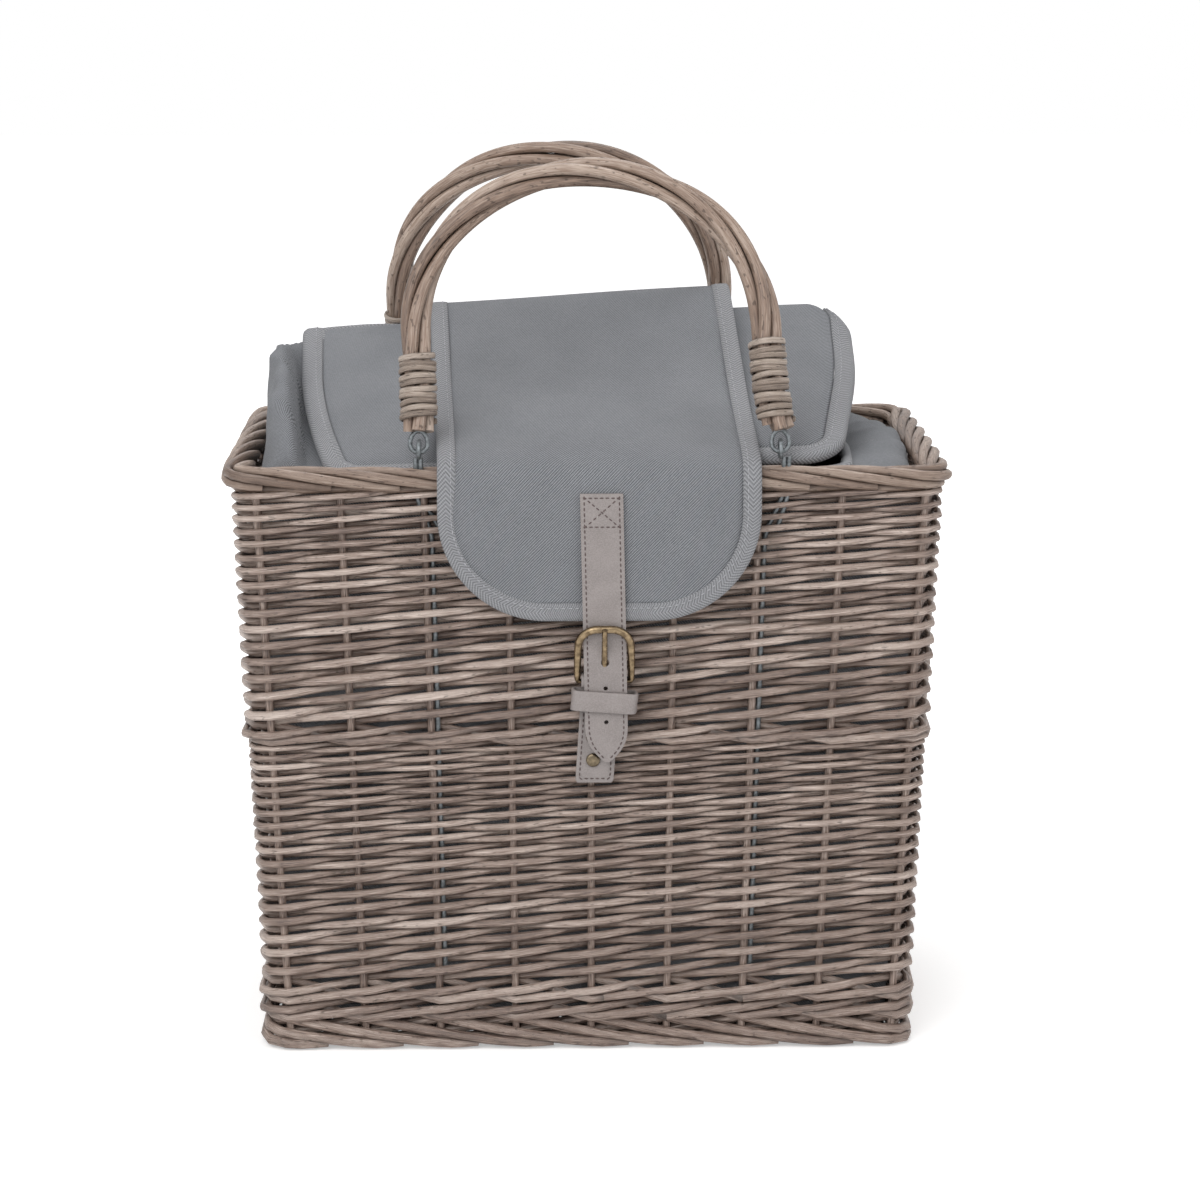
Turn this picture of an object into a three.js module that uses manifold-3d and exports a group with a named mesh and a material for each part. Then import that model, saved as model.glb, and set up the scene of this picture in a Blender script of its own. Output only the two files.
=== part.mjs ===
// Chiller basket: a tall willow basket with a fitted cooler bag, a sloping lid, a buckled flap and two handles.
// Millimetres, +Z up, the front faces -Y, and the origin is the middle of the base's underside.
import * as THREE from "three";
import { ConvexGeometry } from "three/addons/geometries/ConvexGeometry.js";
import { mergeVertices } from "three/addons/utils/BufferGeometryUtils.js";
import Module from "manifold-3d";

// Clearance that neighbours keep
const CLEARANCE = 0.3;

// Basket
const RIM_WIDTH = 350;
const RIM_DEPTH = 210;
const BASE_WIDTH = 326;
const BASE_DEPTH = 188;
const BASKET_HEIGHT = 296;
const CORNER_RADIUS = 24;
const LEAST_CORNER_RADIUS = 2;
const RIM_BORDER_HEIGHT = 13;
const RIM_BORDER_THICKNESS = 15;
const WALL_SETBACK = 3;
const WALL_THICKNESS = 10;
const STAKE_PITCH = 39.6;
const WEAVE_ROW = 10;
const WEAVE_PROUD = 1.4;
const WEAVE_DEPTH = 4.4;
const WEAVE_LIP = 1;
const MID_WALE_DROP = 139;
const MID_WALE_HEIGHT = 11;
const MID_WALE_PROUD = 1;
const BOTTOM_WALE_HEIGHT = 20;
const FOOT_HEIGHT = 16;
const FOOT_THICKNESS = 16;
const FOOT_PROUD = 1;
const BASE_THICKNESS = 12;

// Cooler bag
const BAG_GAP = 1;
const BAG_CORNER = 9;
const SHELL_THICKNESS = 1.2;
const FOAM_THICKNESS = 5;
const LINING_THICKNESS = 0.8;
const BAG_FRONT_DROP = 6;
const BAG_REAR_RISE = 46;
const BAG_TOP_WIDTH = 286;
const BAG_TOP_REAR_Y = 60;

// Lid
const LID_X = -4;
const LID_WIDTH = 288;
const LID_THICKNESS = 5;
const LID_TAPE_WIDTH = 9;
const TAPE_PROUD = 0.6;
const LID_SIDE_DRAW = 22;
const LID_FRONT_RADIUS = 22;
const LID_REAR_RADIUS = 14;

// Flap
const FLAP_X = 5.7;
const FLAP_WIDTH = 152;
const FLAP_THICKNESS = 3;
const FLAP_DROP = 74;
const FLAP_CORNER_RADIUS = 52;
const FLAP_TAPE_WIDTH = 8;
const FLAP_REAR_PUFF = 4;

// Strap, tab and buckle
const STRAP_X = 8;
const STRAP_WIDTH = 20;
const STRAP_THICKNESS = 2;
const STRAP_TOP_DROP = 12;
const STRAP_TIP_DROP = 145;
const STRAP_POINT_LENGTH = 14;
const STRAP_HOLE_RADIUS = 2;
const STRAP_HOLE_PITCH = 15;
const TAB_X = 6.2;
const TAB_WIDTH = 18.6;
const TAB_THICKNESS = 1.6;
const TAB_END_DROP = 156;
const BAR_DROP = 104.5;
const BUCKLE_WIDTH = 28.5;
const BUCKLE_HEIGHT = 29;
const BUCKLE_WIRE = 2.6;
const BUCKLE_CORNER = 8;
const PRONG_RADIUS = 1.1;
const PRONG_RING_WIDTH = 3;
const KEEPER_X = 8;
const KEEPER_WIDTH = 32;
const KEEPER_HEIGHT = 10;
const KEEPER_DROP = 112.2;
const KEEPER_THICKNESS = 1.6;
const RIVET_X = 1.5;
const RIVET_DROPS = [133, 144.5];
const RIVET_HEAD_RADIUS = 3;
const RIVET_HEAD_HEIGHT = 1.4;
const RIVET_SHANK_RADIUS = 1.5;

// Handles
const HANDLE_FRONT_X = 6;
const HANDLE_BACK_X = -8;
const HANDLE_SPAN = 173;
const HANDLE_LEAN = 16.6;
const HANDLE_REACH = 143;
const ARCH_RISE = 77;
const PIVOT_RISE = 6;
const ROD_RADIUS = 3.4;
const ROD_COUNT = 4;
const ROD_SPREAD = 5.4;
const ROD_TWISTS = 2.25;
const BINDING_START = 14;
const BINDING_TURNS = 9;
const BINDING_PITCH = 3.6;
const CANE_WIDTH = 3;
const CANE_THICKNESS = 1.5;
const WIRE_RADIUS = 1.1;
const SHANK_RADIUS = 0.9;
const EYE_RADIUS = 4;
const LOOP_RADIUS = 4.2;
const LOOP_SHANK = 26;

// Facets
const CORNER_STEPS = 4;
const ROD_STEPS = 40;
const ROD_SIDES = 5;
const BINDING_STEPS = 14;
const WIRE_SIDES = 5;
const RING_STEPS = 12;
const ROUND_STEPS = 10;

const wasm = await Module();
wasm.setup();

const willow = new THREE.MeshStandardMaterial({ color: 0x8c7a6e, roughness: 0.75 });
const warmWillow = new THREE.MeshStandardMaterial({ color: 0x8a7463, roughness: 0.75 });
const cane = new THREE.MeshStandardMaterial({ color: 0xc3b09c, roughness: 0.7 });
const wire = new THREE.MeshStandardMaterial({ color: 0x787d80, roughness: 0.5, metalness: 0.8 });
const fabric = new THREE.MeshStandardMaterial({ color: 0x7c7e82, roughness: 0.9 });
const tape = new THREE.MeshStandardMaterial({ color: 0x8c8c93, roughness: 0.9 });
const foam = new THREE.MeshStandardMaterial({ color: 0xe4e4e0, roughness: 1 });
const lining = new THREE.MeshStandardMaterial({ color: 0x555556, roughness: 0.6 });
const leather = new THREE.MeshStandardMaterial({ color: 0x98928e, roughness: 0.6 });
const brass = new THREE.MeshStandardMaterial({ color: 0x96784b, roughness: 0.35, metalness: 1 });

const basket = new THREE.Group();

function add(name, geometry, material, parent = basket) {
  const mesh = new THREE.Mesh(geometry, material);
  mesh.name = name;
  parent.add(mesh);
}

// Booleans

function toSolid(geometry) {
  const bare = new THREE.BufferGeometry().setAttribute("position", geometry.getAttribute("position"));
  bare.setIndex(geometry.index);
  const merged = mergeVertices(bare, 1e-4);
  const mesh = new wasm.Mesh({
    numProp: 3,
    vertProperties: merged.attributes.position.array,
    triVerts: new Uint32Array(merged.index.array),
  });
  return new wasm.Manifold(mesh);
}

function toGeometry(solid) {
  const mesh = solid.getMesh();
  const geometry = new THREE.BufferGeometry();
  geometry.setAttribute("position", new THREE.BufferAttribute(mesh.vertProperties, 3));
  geometry.setIndex(new THREE.BufferAttribute(mesh.triVerts, 1));
  geometry.computeVertexNormals();
  return geometry;
}

const cut = (geometry, tools) => toGeometry(tools.reduce((rest, t) => rest.subtract(toSolid(t)), toSolid(geometry)));
const join = (a, b) => toGeometry(toSolid(a).add(toSolid(b)));
const common = (a, b) => toGeometry(toSolid(a).intersect(toSolid(b)));

function box(x0, x1, y0, y1, z0, z1) {
  const geometry = new THREE.BoxGeometry(x1 - x0, y1 - y0, z1 - z0);
  return geometry.translate((x0 + x1) / 2, (y0 + y1) / 2, (z0 + z1) / 2);
}

function rodBetween(from, to, radius, sides) {
  const along = to.clone().sub(from);
  const geometry = new THREE.CylinderGeometry(radius, radius, along.length(), sides);
  geometry.applyQuaternion(new THREE.Quaternion().setFromUnitVectors(new THREE.Vector3(0, 1, 0), along.normalize()));
  const middle = from.clone().lerp(to, 0.5);
  return geometry.translate(middle.x, middle.y, middle.z);
}

function polygon(radius, sides) {
  const shape = new THREE.Shape();
  shape.setFromPoints(
    Array.from({ length: sides }, (_, i) => {
      const angle = (2 * Math.PI * i) / sides;
      return new THREE.Vector2(radius * Math.cos(angle), radius * Math.sin(angle));
    }),
  );
  return shape;
}

const extrude = (shape, depth) =>
  new THREE.ExtrudeGeometry(shape, { depth, bevelEnabled: false, curveSegments: CORNER_STEPS });

// A profile drawn in the (y, z) plane, extruded sideways over the given width about x.
function across(shape, x, width) {
  const sideways = new THREE.Matrix4().makeBasis(
    new THREE.Vector3(0, 1, 0),
    new THREE.Vector3(0, 0, 1),
    new THREE.Vector3(1, 0, 0),
  );
  return extrude(shape, width).applyMatrix4(sideways).translate(x - width / 2, 0, 0);
}

// An outline drawn in the (x, z) plane, extruded backwards over the given depth from the plane y = front.
function facing(shape, front, depth) {
  return extrude(shape, depth).rotateX(Math.PI / 2).translate(0, front + depth, 0);
}

// Closed tube through rings of points, with the given triangles across its first and last ring.
function tubeThrough(rings, cap) {
  const sides = rings[0].length;
  const faces = [];
  for (let i = 0; i + 1 < rings.length; i += 1) {
    for (let j = 0; j < sides; j += 1) {
      const a = i * sides + j;
      const b = i * sides + ((j + 1) % sides);
      faces.push(a, b, b + sides, a, b + sides, a + sides);
    }
  }
  const last = (rings.length - 1) * sides;
  for (const [a, b, c] of cap) {
    faces.push(a, c, b, last + a, last + b, last + c);
  }
  const geometry = new THREE.BufferGeometry().setFromPoints(rings.flat());
  geometry.setIndex(faces);
  geometry.computeVertexNormals();
  return geometry;
}

// Closed outline of a bent sheet: the given line, and the line that lies a thickness to its left.
function sheetOutline(line, thickness) {
  const points = line.map(([y, z]) => new THREE.Vector2(y, z));
  const left = (a, b) => {
    const along = b.clone().sub(a).normalize();
    return new THREE.Vector2(-along.y, along.x);
  };
  const far = points.map((p, i) => {
    const before = i > 0 ? left(points[i - 1], p) : left(p, points[i + 1]);
    const after = i < points.length - 1 ? left(p, points[i + 1]) : before;
    const mitre = before.clone().add(after).normalize();
    return p.clone().addScaledVector(mitre, thickness / mitre.dot(after));
  });
  return new THREE.Shape([...points, ...far.reverse()]);
}

// Basket: the plan is drawn at rim level and narrows evenly towards the base

const widthAt = (z) => THREE.MathUtils.lerp(BASE_WIDTH / RIM_WIDTH, 1, z / BASKET_HEIGHT);
const depthAt = (z) => THREE.MathUtils.lerp(BASE_DEPTH / RIM_DEPTH, 1, z / BASKET_HEIGHT);

function taper(geometry) {
  const at = geometry.getAttribute("position");
  for (let i = 0; i < at.count; i += 1) {
    const z = at.getZ(i);
    at.setXY(i, at.getX(i) * widthAt(z), at.getY(i) * depthAt(z));
  }
  return geometry;
}

function planOutline(inset) {
  const x = RIM_WIDTH / 2 - inset;
  const y = RIM_DEPTH / 2 - inset;
  const r = Math.max(CORNER_RADIUS - inset, LEAST_CORNER_RADIUS);
  const shape = new THREE.Shape();
  shape.absarc(x - r, y - r, r, 0, Math.PI / 2);
  shape.absarc(r - x, y - r, r, Math.PI / 2, Math.PI);
  shape.absarc(r - x, r - y, r, Math.PI, 1.5 * Math.PI);
  shape.absarc(x - r, r - y, r, 1.5 * Math.PI, 2 * Math.PI);
  return shape;
}

function ring(outerInset, innerInset, z0, z1) {
  const shape = planOutline(outerInset);
  shape.holes.push(planOutline(innerInset));
  return taper(extrude(shape, z1 - z0).translate(0, 0, z0));
}

// Plan of one side of a woven band: u runs along it and v points outwards. Its ends follow the round corners, and
// each stake between them is marked 1 or -1, for weavers that pass in front of it or behind it.
function wallPlan(halfSpan, endAngle) {
  const r = CORNER_RADIUS - WALL_SETBACK;
  const u = halfSpan - r;
  const v = WALL_THICKNESS - r;
  const corner = Array.from({ length: CORNER_STEPS + 1 }, (_, i) => {
    const angle = THREE.MathUtils.lerp(endAngle, Math.PI / 2, i / CORNER_STEPS);
    return { u: u + r * Math.cos(angle), v: v + r * Math.sin(angle), mark: 0 };
  });
  const bays = 2 * Math.round(u / STAKE_PITCH);
  const stakes = Array.from({ length: bays - 1 }, (_, i) => ({
    u: u - (2 * u * (i + 1)) / bays,
    v: WALL_THICKNESS,
    mark: i % 2 === 0 ? 1 : -1,
  }));
  const mirrored = (points) => points.map((point) => ({ ...point, u: -point.u })).reverse();
  const inner = corner[0].v > CLEARANCE ? [{ u: corner[0].u, v: 0, mark: 0 }] : [];
  return [...inner, ...corner, ...stakes, ...mirrored(corner), ...mirrored(inner)];
}

// One side of a woven band: rows of weavers, each in front of every other stake, and the next row the other way.
function wallSide(halfSpan, endAngle, turn, x, y, z0, z1) {
  const plan = wallPlan(halfSpan, endAngle);
  const rows = Math.round((z1 - z0) / WEAVE_ROW);
  const rings = [];
  for (let row = 0; row < rows; row += 1) {
    const way = row % 2 === 0 ? 1 : -1;
    const low = row === 0 ? z0 : THREE.MathUtils.lerp(z0, z1, row / rows) + WEAVE_LIP / 2;
    const high = row === rows - 1 ? z1 : THREE.MathUtils.lerp(z0, z1, (row + 1) / rows) - WEAVE_LIP / 2;
    const woven = plan.map(({ u, v, mark }) => {
      const out = mark * way < 0 ? WEAVE_PROUD - WEAVE_DEPTH : WEAVE_PROUD * Math.abs(mark);
      return new THREE.Vector3(u, v + out, 0);
    });
    rings.push(...[low, high].map((z) => woven.map((point) => point.clone().setZ(z))));
  }
  const cap = THREE.ShapeUtils.triangulateShape(rings[0].map((point) => new THREE.Vector2(point.x, point.y)), []);
  return taper(tubeThrough(rings, cap).rotateZ(turn).translate(x, y, 0));
}

const wallX = RIM_WIDTH / 2 - WALL_SETBACK;
const wallY = RIM_DEPTH / 2 - WALL_SETBACK;
const wallInset = WALL_SETBACK + WALL_THICKNESS;
const rimBottom = BASKET_HEIGHT - RIM_BORDER_HEIGHT;
const midWaleZ = BASKET_HEIGHT - MID_WALE_DROP;
const midWaleTop = midWaleZ + MID_WALE_HEIGHT;
const bottomWaleTop = FOOT_HEIGHT + BOTTOM_WALE_HEIGHT;

// Handle ends, eyes and their anchor wires

const pivotZ = BASKET_HEIGHT + PIVOT_RISE;
const pivotY = RIM_DEPTH / 2 - WALL_SETBACK - WALL_THICKNESS / 2;
const eyeZ = pivotZ + EYE_RADIUS - 2 * WIRE_RADIUS - CLEARANCE;
const handles = [
  { name: "front", x: HANDLE_FRONT_X, side: -1 },
  { name: "back", x: HANDLE_BACK_X, side: 1 },
];
const ends = handles.flatMap((handle) =>
  ["left", "right"].map((hand) => {
    const x = handle.x + ((hand === "left" ? -1 : 1) * HANDLE_SPAN) / 2;
    const y = handle.side * pivotY;
    const low = bottomWaleTop + 2 * CLEARANCE;
    return {
      name: `${handle.name}_${hand}`,
      front: handle.side < 0,
      eye: new THREE.Vector3(x, y, eyeZ),
      top: new THREE.Vector3(x, y, eyeZ - EYE_RADIUS),
      foot: new THREE.Vector3(x * widthAt(low), y * depthAt(low), low),
    };
  }),
);
const wireHole = (end) => rodBetween(end.top, end.foot, SHANK_RADIUS + CLEARANCE, WIRE_SIDES);

for (const end of ends) {
  const eye = new THREE.TorusGeometry(EYE_RADIUS, WIRE_RADIUS, WIRE_SIDES, RING_STEPS).rotateY(Math.PI / 2);
  eye.translate(end.eye.x, end.eye.y, end.eye.z);
  add(`rim_eye_${end.name}`, join(eye, rodBetween(end.top, end.foot, SHANK_RADIUS, WIRE_SIDES)), wire);
}

// Woven bands, wales, borders and base

const cornerRadius = CORNER_RADIUS - WALL_SETBACK;
const longEnd = Math.acos((cornerRadius - WALL_THICKNESS - CLEARANCE) / cornerRadius);
const shortEnd = Math.asin((cornerRadius - WALL_THICKNESS) / cornerRadius);
const sides = [
  { name: "front", halfSpan: wallX, endAngle: longEnd, turn: Math.PI, x: 0, y: WALL_THICKNESS - wallY },
  { name: "back", halfSpan: wallX, endAngle: longEnd, turn: 0, x: 0, y: wallY - WALL_THICKNESS },
  { name: "left", halfSpan: wallY, endAngle: shortEnd, turn: Math.PI / 2, x: WALL_THICKNESS - wallX, y: 0 },
  { name: "right", halfSpan: wallY, endAngle: shortEnd, turn: -Math.PI / 2, x: wallX - WALL_THICKNESS, y: 0 },
];
const bands = [
  { name: "lower", z0: bottomWaleTop + CLEARANCE, z1: midWaleZ - CLEARANCE },
  { name: "upper", z0: midWaleTop + CLEARANCE, z1: rimBottom - CLEARANCE },
];
for (const band of bands) {
  for (const side of sides) {
    const wall = wallSide(side.halfSpan, side.endAngle, side.turn, side.x, side.y, band.z0, band.z1);
    const holes = ends.filter((end) => side.name === (end.front ? "front" : "back")).map(wireHole);
    add(`${band.name}_wall_${side.name}`, cut(wall, holes), willow);
  }
}

const allHoles = ends.map(wireHole);
add("rim_border", cut(ring(0, RIM_BORDER_THICKNESS, rimBottom, BASKET_HEIGHT), allHoles), warmWillow);
add("mid_wale", cut(ring(-MID_WALE_PROUD, wallInset, midWaleZ, midWaleTop), allHoles), willow);
add("bottom_wale", ring(0, wallInset, FOOT_HEIGHT + CLEARANCE, bottomWaleTop), willow);
add("foot_border", ring(-FOOT_PROUD, FOOT_THICKNESS - FOOT_PROUD, 0, FOOT_HEIGHT), willow);
const basePlan = planOutline(FOOT_THICKNESS - FOOT_PROUD + CLEARANCE);
add("base_panel", taper(extrude(basePlan, BASE_THICKNESS)), willow);

// Cooler bag: nested shells that share one sloping mouth, low at the front and high at the rear

const bagInset = RIM_BORDER_THICKNESS + BAG_GAP;
const bagX = RIM_WIDTH / 2 - bagInset;
const bagY = RIM_DEPTH / 2 - bagInset;
const bagFloorZ = BASE_THICKNESS + CLEARANCE;
const mouthFrontZ = BASKET_HEIGHT - BAG_FRONT_DROP;
const mouthRearZ = BASKET_HEIGHT + BAG_REAR_RISE;
const mouthSlope = (mouthRearZ - mouthFrontZ) / (BAG_TOP_REAR_Y + bagY);
const sideLean = (bagX - BAG_TOP_WIDTH / 2) / (mouthRearZ - mouthFrontZ);
const rearLean = (bagY - BAG_TOP_REAR_Y) / (mouthRearZ - mouthFrontZ);

function bagBody(inset, rise) {
  const chamfer = Math.max(BAG_CORNER - inset * (2 - Math.SQRT2), CLEARANCE);
  const frontLift = inset * mouthSlope + rise;
  const rearLift = rise - inset * mouthSlope;
  const floorX = bagX * widthAt(bagFloorZ) - inset;
  const floorY = bagY * depthAt(bagFloorZ) - inset;
  const frontX = bagX - inset - frontLift * sideLean;
  const rearX = BAG_TOP_WIDTH / 2 - inset - rearLift * sideLean;
  const rearY = BAG_TOP_REAR_Y - inset - rearLift * rearLean;
  const corners = [
    { x: floorX, y: -floorY, z: bagFloorZ + inset, climb: 0 },
    { x: floorX, y: floorY, z: bagFloorZ + inset, climb: 0 },
    { x: bagX - inset, y: inset - bagY, z: mouthFrontZ, climb: 0 },
    { x: bagX - inset, y: bagY - inset, z: mouthFrontZ, climb: 0 },
    { x: frontX, y: inset - bagY, z: mouthFrontZ + frontLift, climb: chamfer * mouthSlope },
    { x: rearX, y: rearY, z: mouthRearZ + rearLift, climb: -chamfer * mouthSlope },
  ];
  const points = corners.flatMap(({ x, y, z, climb }) =>
    [-1, 1].flatMap((side) => [
      new THREE.Vector3(side * (x - chamfer), y, z),
      new THREE.Vector3(side * (x - climb * sideLean), y - Math.sign(y) * chamfer, z + climb),
    ]),
  );
  return new ConvexGeometry(points);
}

// Everything between the bag's two side planes, moved in by inset, from front to back.
function betweenSides(inset) {
  const topZ = mouthRearZ + throughMouth;
  const half = [
    [bagX * widthAt(bagFloorZ) - inset, bagFloorZ],
    [bagX - inset, mouthFrontZ],
    [bagX - inset - (topZ - mouthFrontZ) * sideLean, topZ],
  ];
  const mirrored = half.map(([x, z]) => [-x, z]).reverse();
  const shape = new THREE.Shape([...half, ...mirrored].map(([x, z]) => new THREE.Vector2(x, z)));
  return facing(shape, -far, 2 * far);
}

const far = RIM_WIDTH;
const throughMouth = 2 * FOAM_THICKNESS;
const foamInset = SHELL_THICKNESS + CLEARANCE;
const foamEnd = foamInset + FOAM_THICKNESS;
const liningInset = foamEnd + CLEARANCE;
const liningEnd = liningInset + LINING_THICKNESS;
add("cooler_shell", cut(bagBody(0, 0), [bagBody(SHELL_THICKNESS, throughMouth)]), fabric);
add("cooler_lining", cut(bagBody(liningInset, 0), [bagBody(liningEnd, throughMouth)]), lining);

const foamFloor = bagFloorZ + foamEnd;
const foamRing = cut(bagBody(foamInset, 0), [bagBody(foamEnd, throughMouth)]);
const foamWalls = common(foamRing, box(-far, far, -far, far, foamFloor + CLEARANCE, mouthRearZ + far));
add("foam_base", common(foamRing, box(-far, far, -far, far, 0, foamFloor)), foam);
const longBoards = common(foamWalls, betweenSides(foamEnd + CLEARANCE));
add("foam_front", common(longBoards, box(-far, far, -far, 0, 0, far + mouthRearZ)), foam);
add("foam_back", common(longBoards, box(-far, far, 0, far, 0, far + mouthRearZ)), foam);
const shortBoards = cut(foamWalls, [betweenSides(foamEnd)]);
add("foam_left", common(shortBoards, box(-far, 0, -far, far, 0, far + mouthRearZ)), foam);
add("foam_right", common(shortBoards, box(0, far, -far, far, 0, far + mouthRearZ)), foam);

// Lid: a padded panel with a sewn tape round its edge, lying on the bag's sloping mouth

const lidAngle = Math.atan(mouthSlope);
const lidReach = (BAG_TOP_REAR_Y + bagY) / Math.cos(lidAngle) - LID_THICKNESS * Math.sin(lidAngle);
const lid = new THREE.Group();
lid.position.set(LID_X, BAG_TOP_REAR_Y, mouthRearZ);
lid.rotation.x = lidAngle;
basket.add(lid);

// Outline of the lid, moved in by inset. Its sides draw in towards the front.
function lidOutline(inset) {
  const lean = Math.atan(LID_SIDE_DRAW / lidReach);
  const front = LID_FRONT_RADIUS - inset;
  const rear = LID_REAR_RADIUS - inset;
  const sideAt = (down) => LID_WIDTH / 2 - down * Math.tan(lean) - inset / Math.cos(lean);
  const rearDown = inset + rear;
  const rearX = sideAt(rearDown) - rear / Math.cos(lean);
  const frontDown = lidReach - inset - front;
  const frontX = sideAt(frontDown) - front / Math.cos(lean);
  const shape = new THREE.Shape();
  shape.absarc(rearX, -rearDown, rear, -lean, Math.PI / 2);
  shape.absarc(-rearX, -rearDown, rear, Math.PI / 2, Math.PI + lean);
  shape.absarc(-frontX, -frontDown, front, Math.PI + lean, 1.5 * Math.PI);
  shape.absarc(frontX, -frontDown, front, 1.5 * Math.PI, 2 * Math.PI - lean);
  return shape;
}

const lidTape = lidOutline(0);
lidTape.holes.push(lidOutline(LID_TAPE_WIDTH));
const lidInside = lidOutline(LID_TAPE_WIDTH + CLEARANCE);
add("lid_panel", extrude(lidInside, LID_THICKNESS).translate(0, 0, CLEARANCE), fabric, lid);
add("lid_binding", extrude(lidTape, LID_THICKNESS + TAPE_PROUD).translate(0, 0, CLEARANCE), tape, lid);

// Point (y, z) at a distance down the lid's slope from its rear edge, and at a height above the bag's mouth.
function onLid(down, height) {
  const y = BAG_TOP_REAR_Y - down * Math.cos(lidAngle) - height * Math.sin(lidAngle);
  const z = mouthRearZ - down * Math.sin(lidAngle) + height * Math.cos(lidAngle);
  return [y, z];
}

// Flap: sewn behind the lid's rear edge, it runs down over the lid and the front rim, and hangs from the fold

const lidTop = CLEARANCE + LID_THICKNESS + TAPE_PROUD + CLEARANCE;
const foldY = -RIM_DEPTH / 2 - CLEARANCE;
const flapFront = foldY - FLAP_THICKNESS;
const flapLine = [
  onLid(-CLEARANCE, CLEARANCE),
  onLid(-CLEARANCE, lidTop + FLAP_REAR_PUFF),
  onLid(lidReach, lidTop),
  [flapFront, BASKET_HEIGHT + CLEARANCE],
].reverse();
const flapInnerWidth = FLAP_WIDTH - 2 * FLAP_TAPE_WIDTH - 2 * CLEARANCE;
const tapeShift = (FLAP_WIDTH - FLAP_TAPE_WIDTH) / 2;
const flapSheet = sheetOutline(flapLine, FLAP_THICKNESS);
const flapTapeSheet = sheetOutline(flapLine, FLAP_THICKNESS + TAPE_PROUD);
add("flap_top", across(flapSheet, FLAP_X, flapInnerWidth), fabric);
add("flap_tape_left", across(flapTapeSheet, FLAP_X - tapeShift, FLAP_TAPE_WIDTH), tape);
add("flap_tape_right", across(flapTapeSheet, FLAP_X + tapeShift, FLAP_TAPE_WIDTH), tape);

function flapOutline(inset) {
  const x = FLAP_WIDTH / 2 - inset;
  const r = FLAP_CORNER_RADIUS - inset;
  const bottom = inset - FLAP_DROP;
  const points = new THREE.Path();
  points.moveTo(-x, 0);
  points.lineTo(-x, bottom + r);
  points.absarc(r - x, bottom + r, r, Math.PI, 1.5 * Math.PI);
  points.absarc(x - r, bottom + r, r, 1.5 * Math.PI, 2 * Math.PI);
  points.lineTo(x, 0);
  return points.getPoints(CORNER_STEPS);
}

const flapInside = new THREE.Shape(flapOutline(FLAP_TAPE_WIDTH + CLEARANCE));
const flapEdge = new THREE.Shape([...flapOutline(0), ...flapOutline(FLAP_TAPE_WIDTH).reverse()]);
const tapeFront = flapFront - TAPE_PROUD;
add("flap_front", facing(flapInside, flapFront, FLAP_THICKNESS).translate(FLAP_X, 0, BASKET_HEIGHT), fabric);
add("flap_front_tape", facing(flapEdge, tapeFront, foldY - tapeFront).translate(FLAP_X, 0, BASKET_HEIGHT), tape);

// Tab: a leather strip on the basket's front, folded round the buckle's bar and riveted on

const barZ = BASKET_HEIGHT - BAR_DROP;
const tabBack = -(RIM_DEPTH / 2 + MID_WALE_PROUD) * depthAt(midWaleTop) - CLEARANCE;
const loopInner = BUCKLE_WIRE * Math.SQRT1_2 + CLEARANCE;
const loopOuter = loopInner + TAB_THICKNESS;
const barY = tabBack - loopOuter;
const tabFront = tabBack - TAB_THICKNESS;
const tabEndZ = BASKET_HEIGHT - TAB_END_DROP;

const tabShape = new THREE.Shape();
tabShape.absarc(barY, barZ, loopOuter, 0, 2 * Math.PI - Math.acos(loopInner / loopOuter));
tabShape.lineTo(tabFront, tabEndZ);
tabShape.lineTo(tabBack, tabEndZ);
tabShape.closePath();
tabShape.holes.push(new THREE.Path().absarc(barY, barZ, loopInner, 0, 2 * Math.PI));
const notchHalf = PRONG_RING_WIDTH / 2 + CLEARANCE;
const notch = box(STRAP_X - notchHalf, STRAP_X + notchHalf, barY - far, barY + far, barZ - 2 * loopOuter, far);
const rivets = RIVET_DROPS.map((drop) => new THREE.Vector3(RIVET_X, tabFront, BASKET_HEIGHT - drop));
const rivetHoles = rivets.map((at) => {
  const from = new THREE.Vector3(at.x, tabFront - CLEARANCE, at.z);
  const to = new THREE.Vector3(at.x, tabBack + CLEARANCE, at.z);
  return rodBetween(from, to, RIVET_SHANK_RADIUS + CLEARANCE, ROUND_STEPS);
});
add("strap_tab", cut(across(tabShape, TAB_X, TAB_WIDTH), [notch, ...rivetHoles]), leather);

rivets.forEach((at, i) => {
  const headTop = RIVET_HEAD_HEIGHT + CLEARANCE;
  const profile = [
    new THREE.Vector2(0, TAB_THICKNESS),
    new THREE.Vector2(RIVET_SHANK_RADIUS, TAB_THICKNESS),
    new THREE.Vector2(RIVET_SHANK_RADIUS, -CLEARANCE),
    new THREE.Vector2(RIVET_HEAD_RADIUS, -CLEARANCE),
    new THREE.Vector2(RIVET_HEAD_RADIUS * Math.SQRT1_2, -headTop),
    new THREE.Vector2(0, -headTop),
  ].reverse();
  const rivet = new THREE.LatheGeometry(profile, ROUND_STEPS).translate(at.x, at.y, at.z);
  add(`tab_rivet_${i + 1}`, rivet, brass);
});

// Strap: sewn to the flap, in front of the bar and behind the frame's top, through the keeper, with a pointed end

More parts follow.
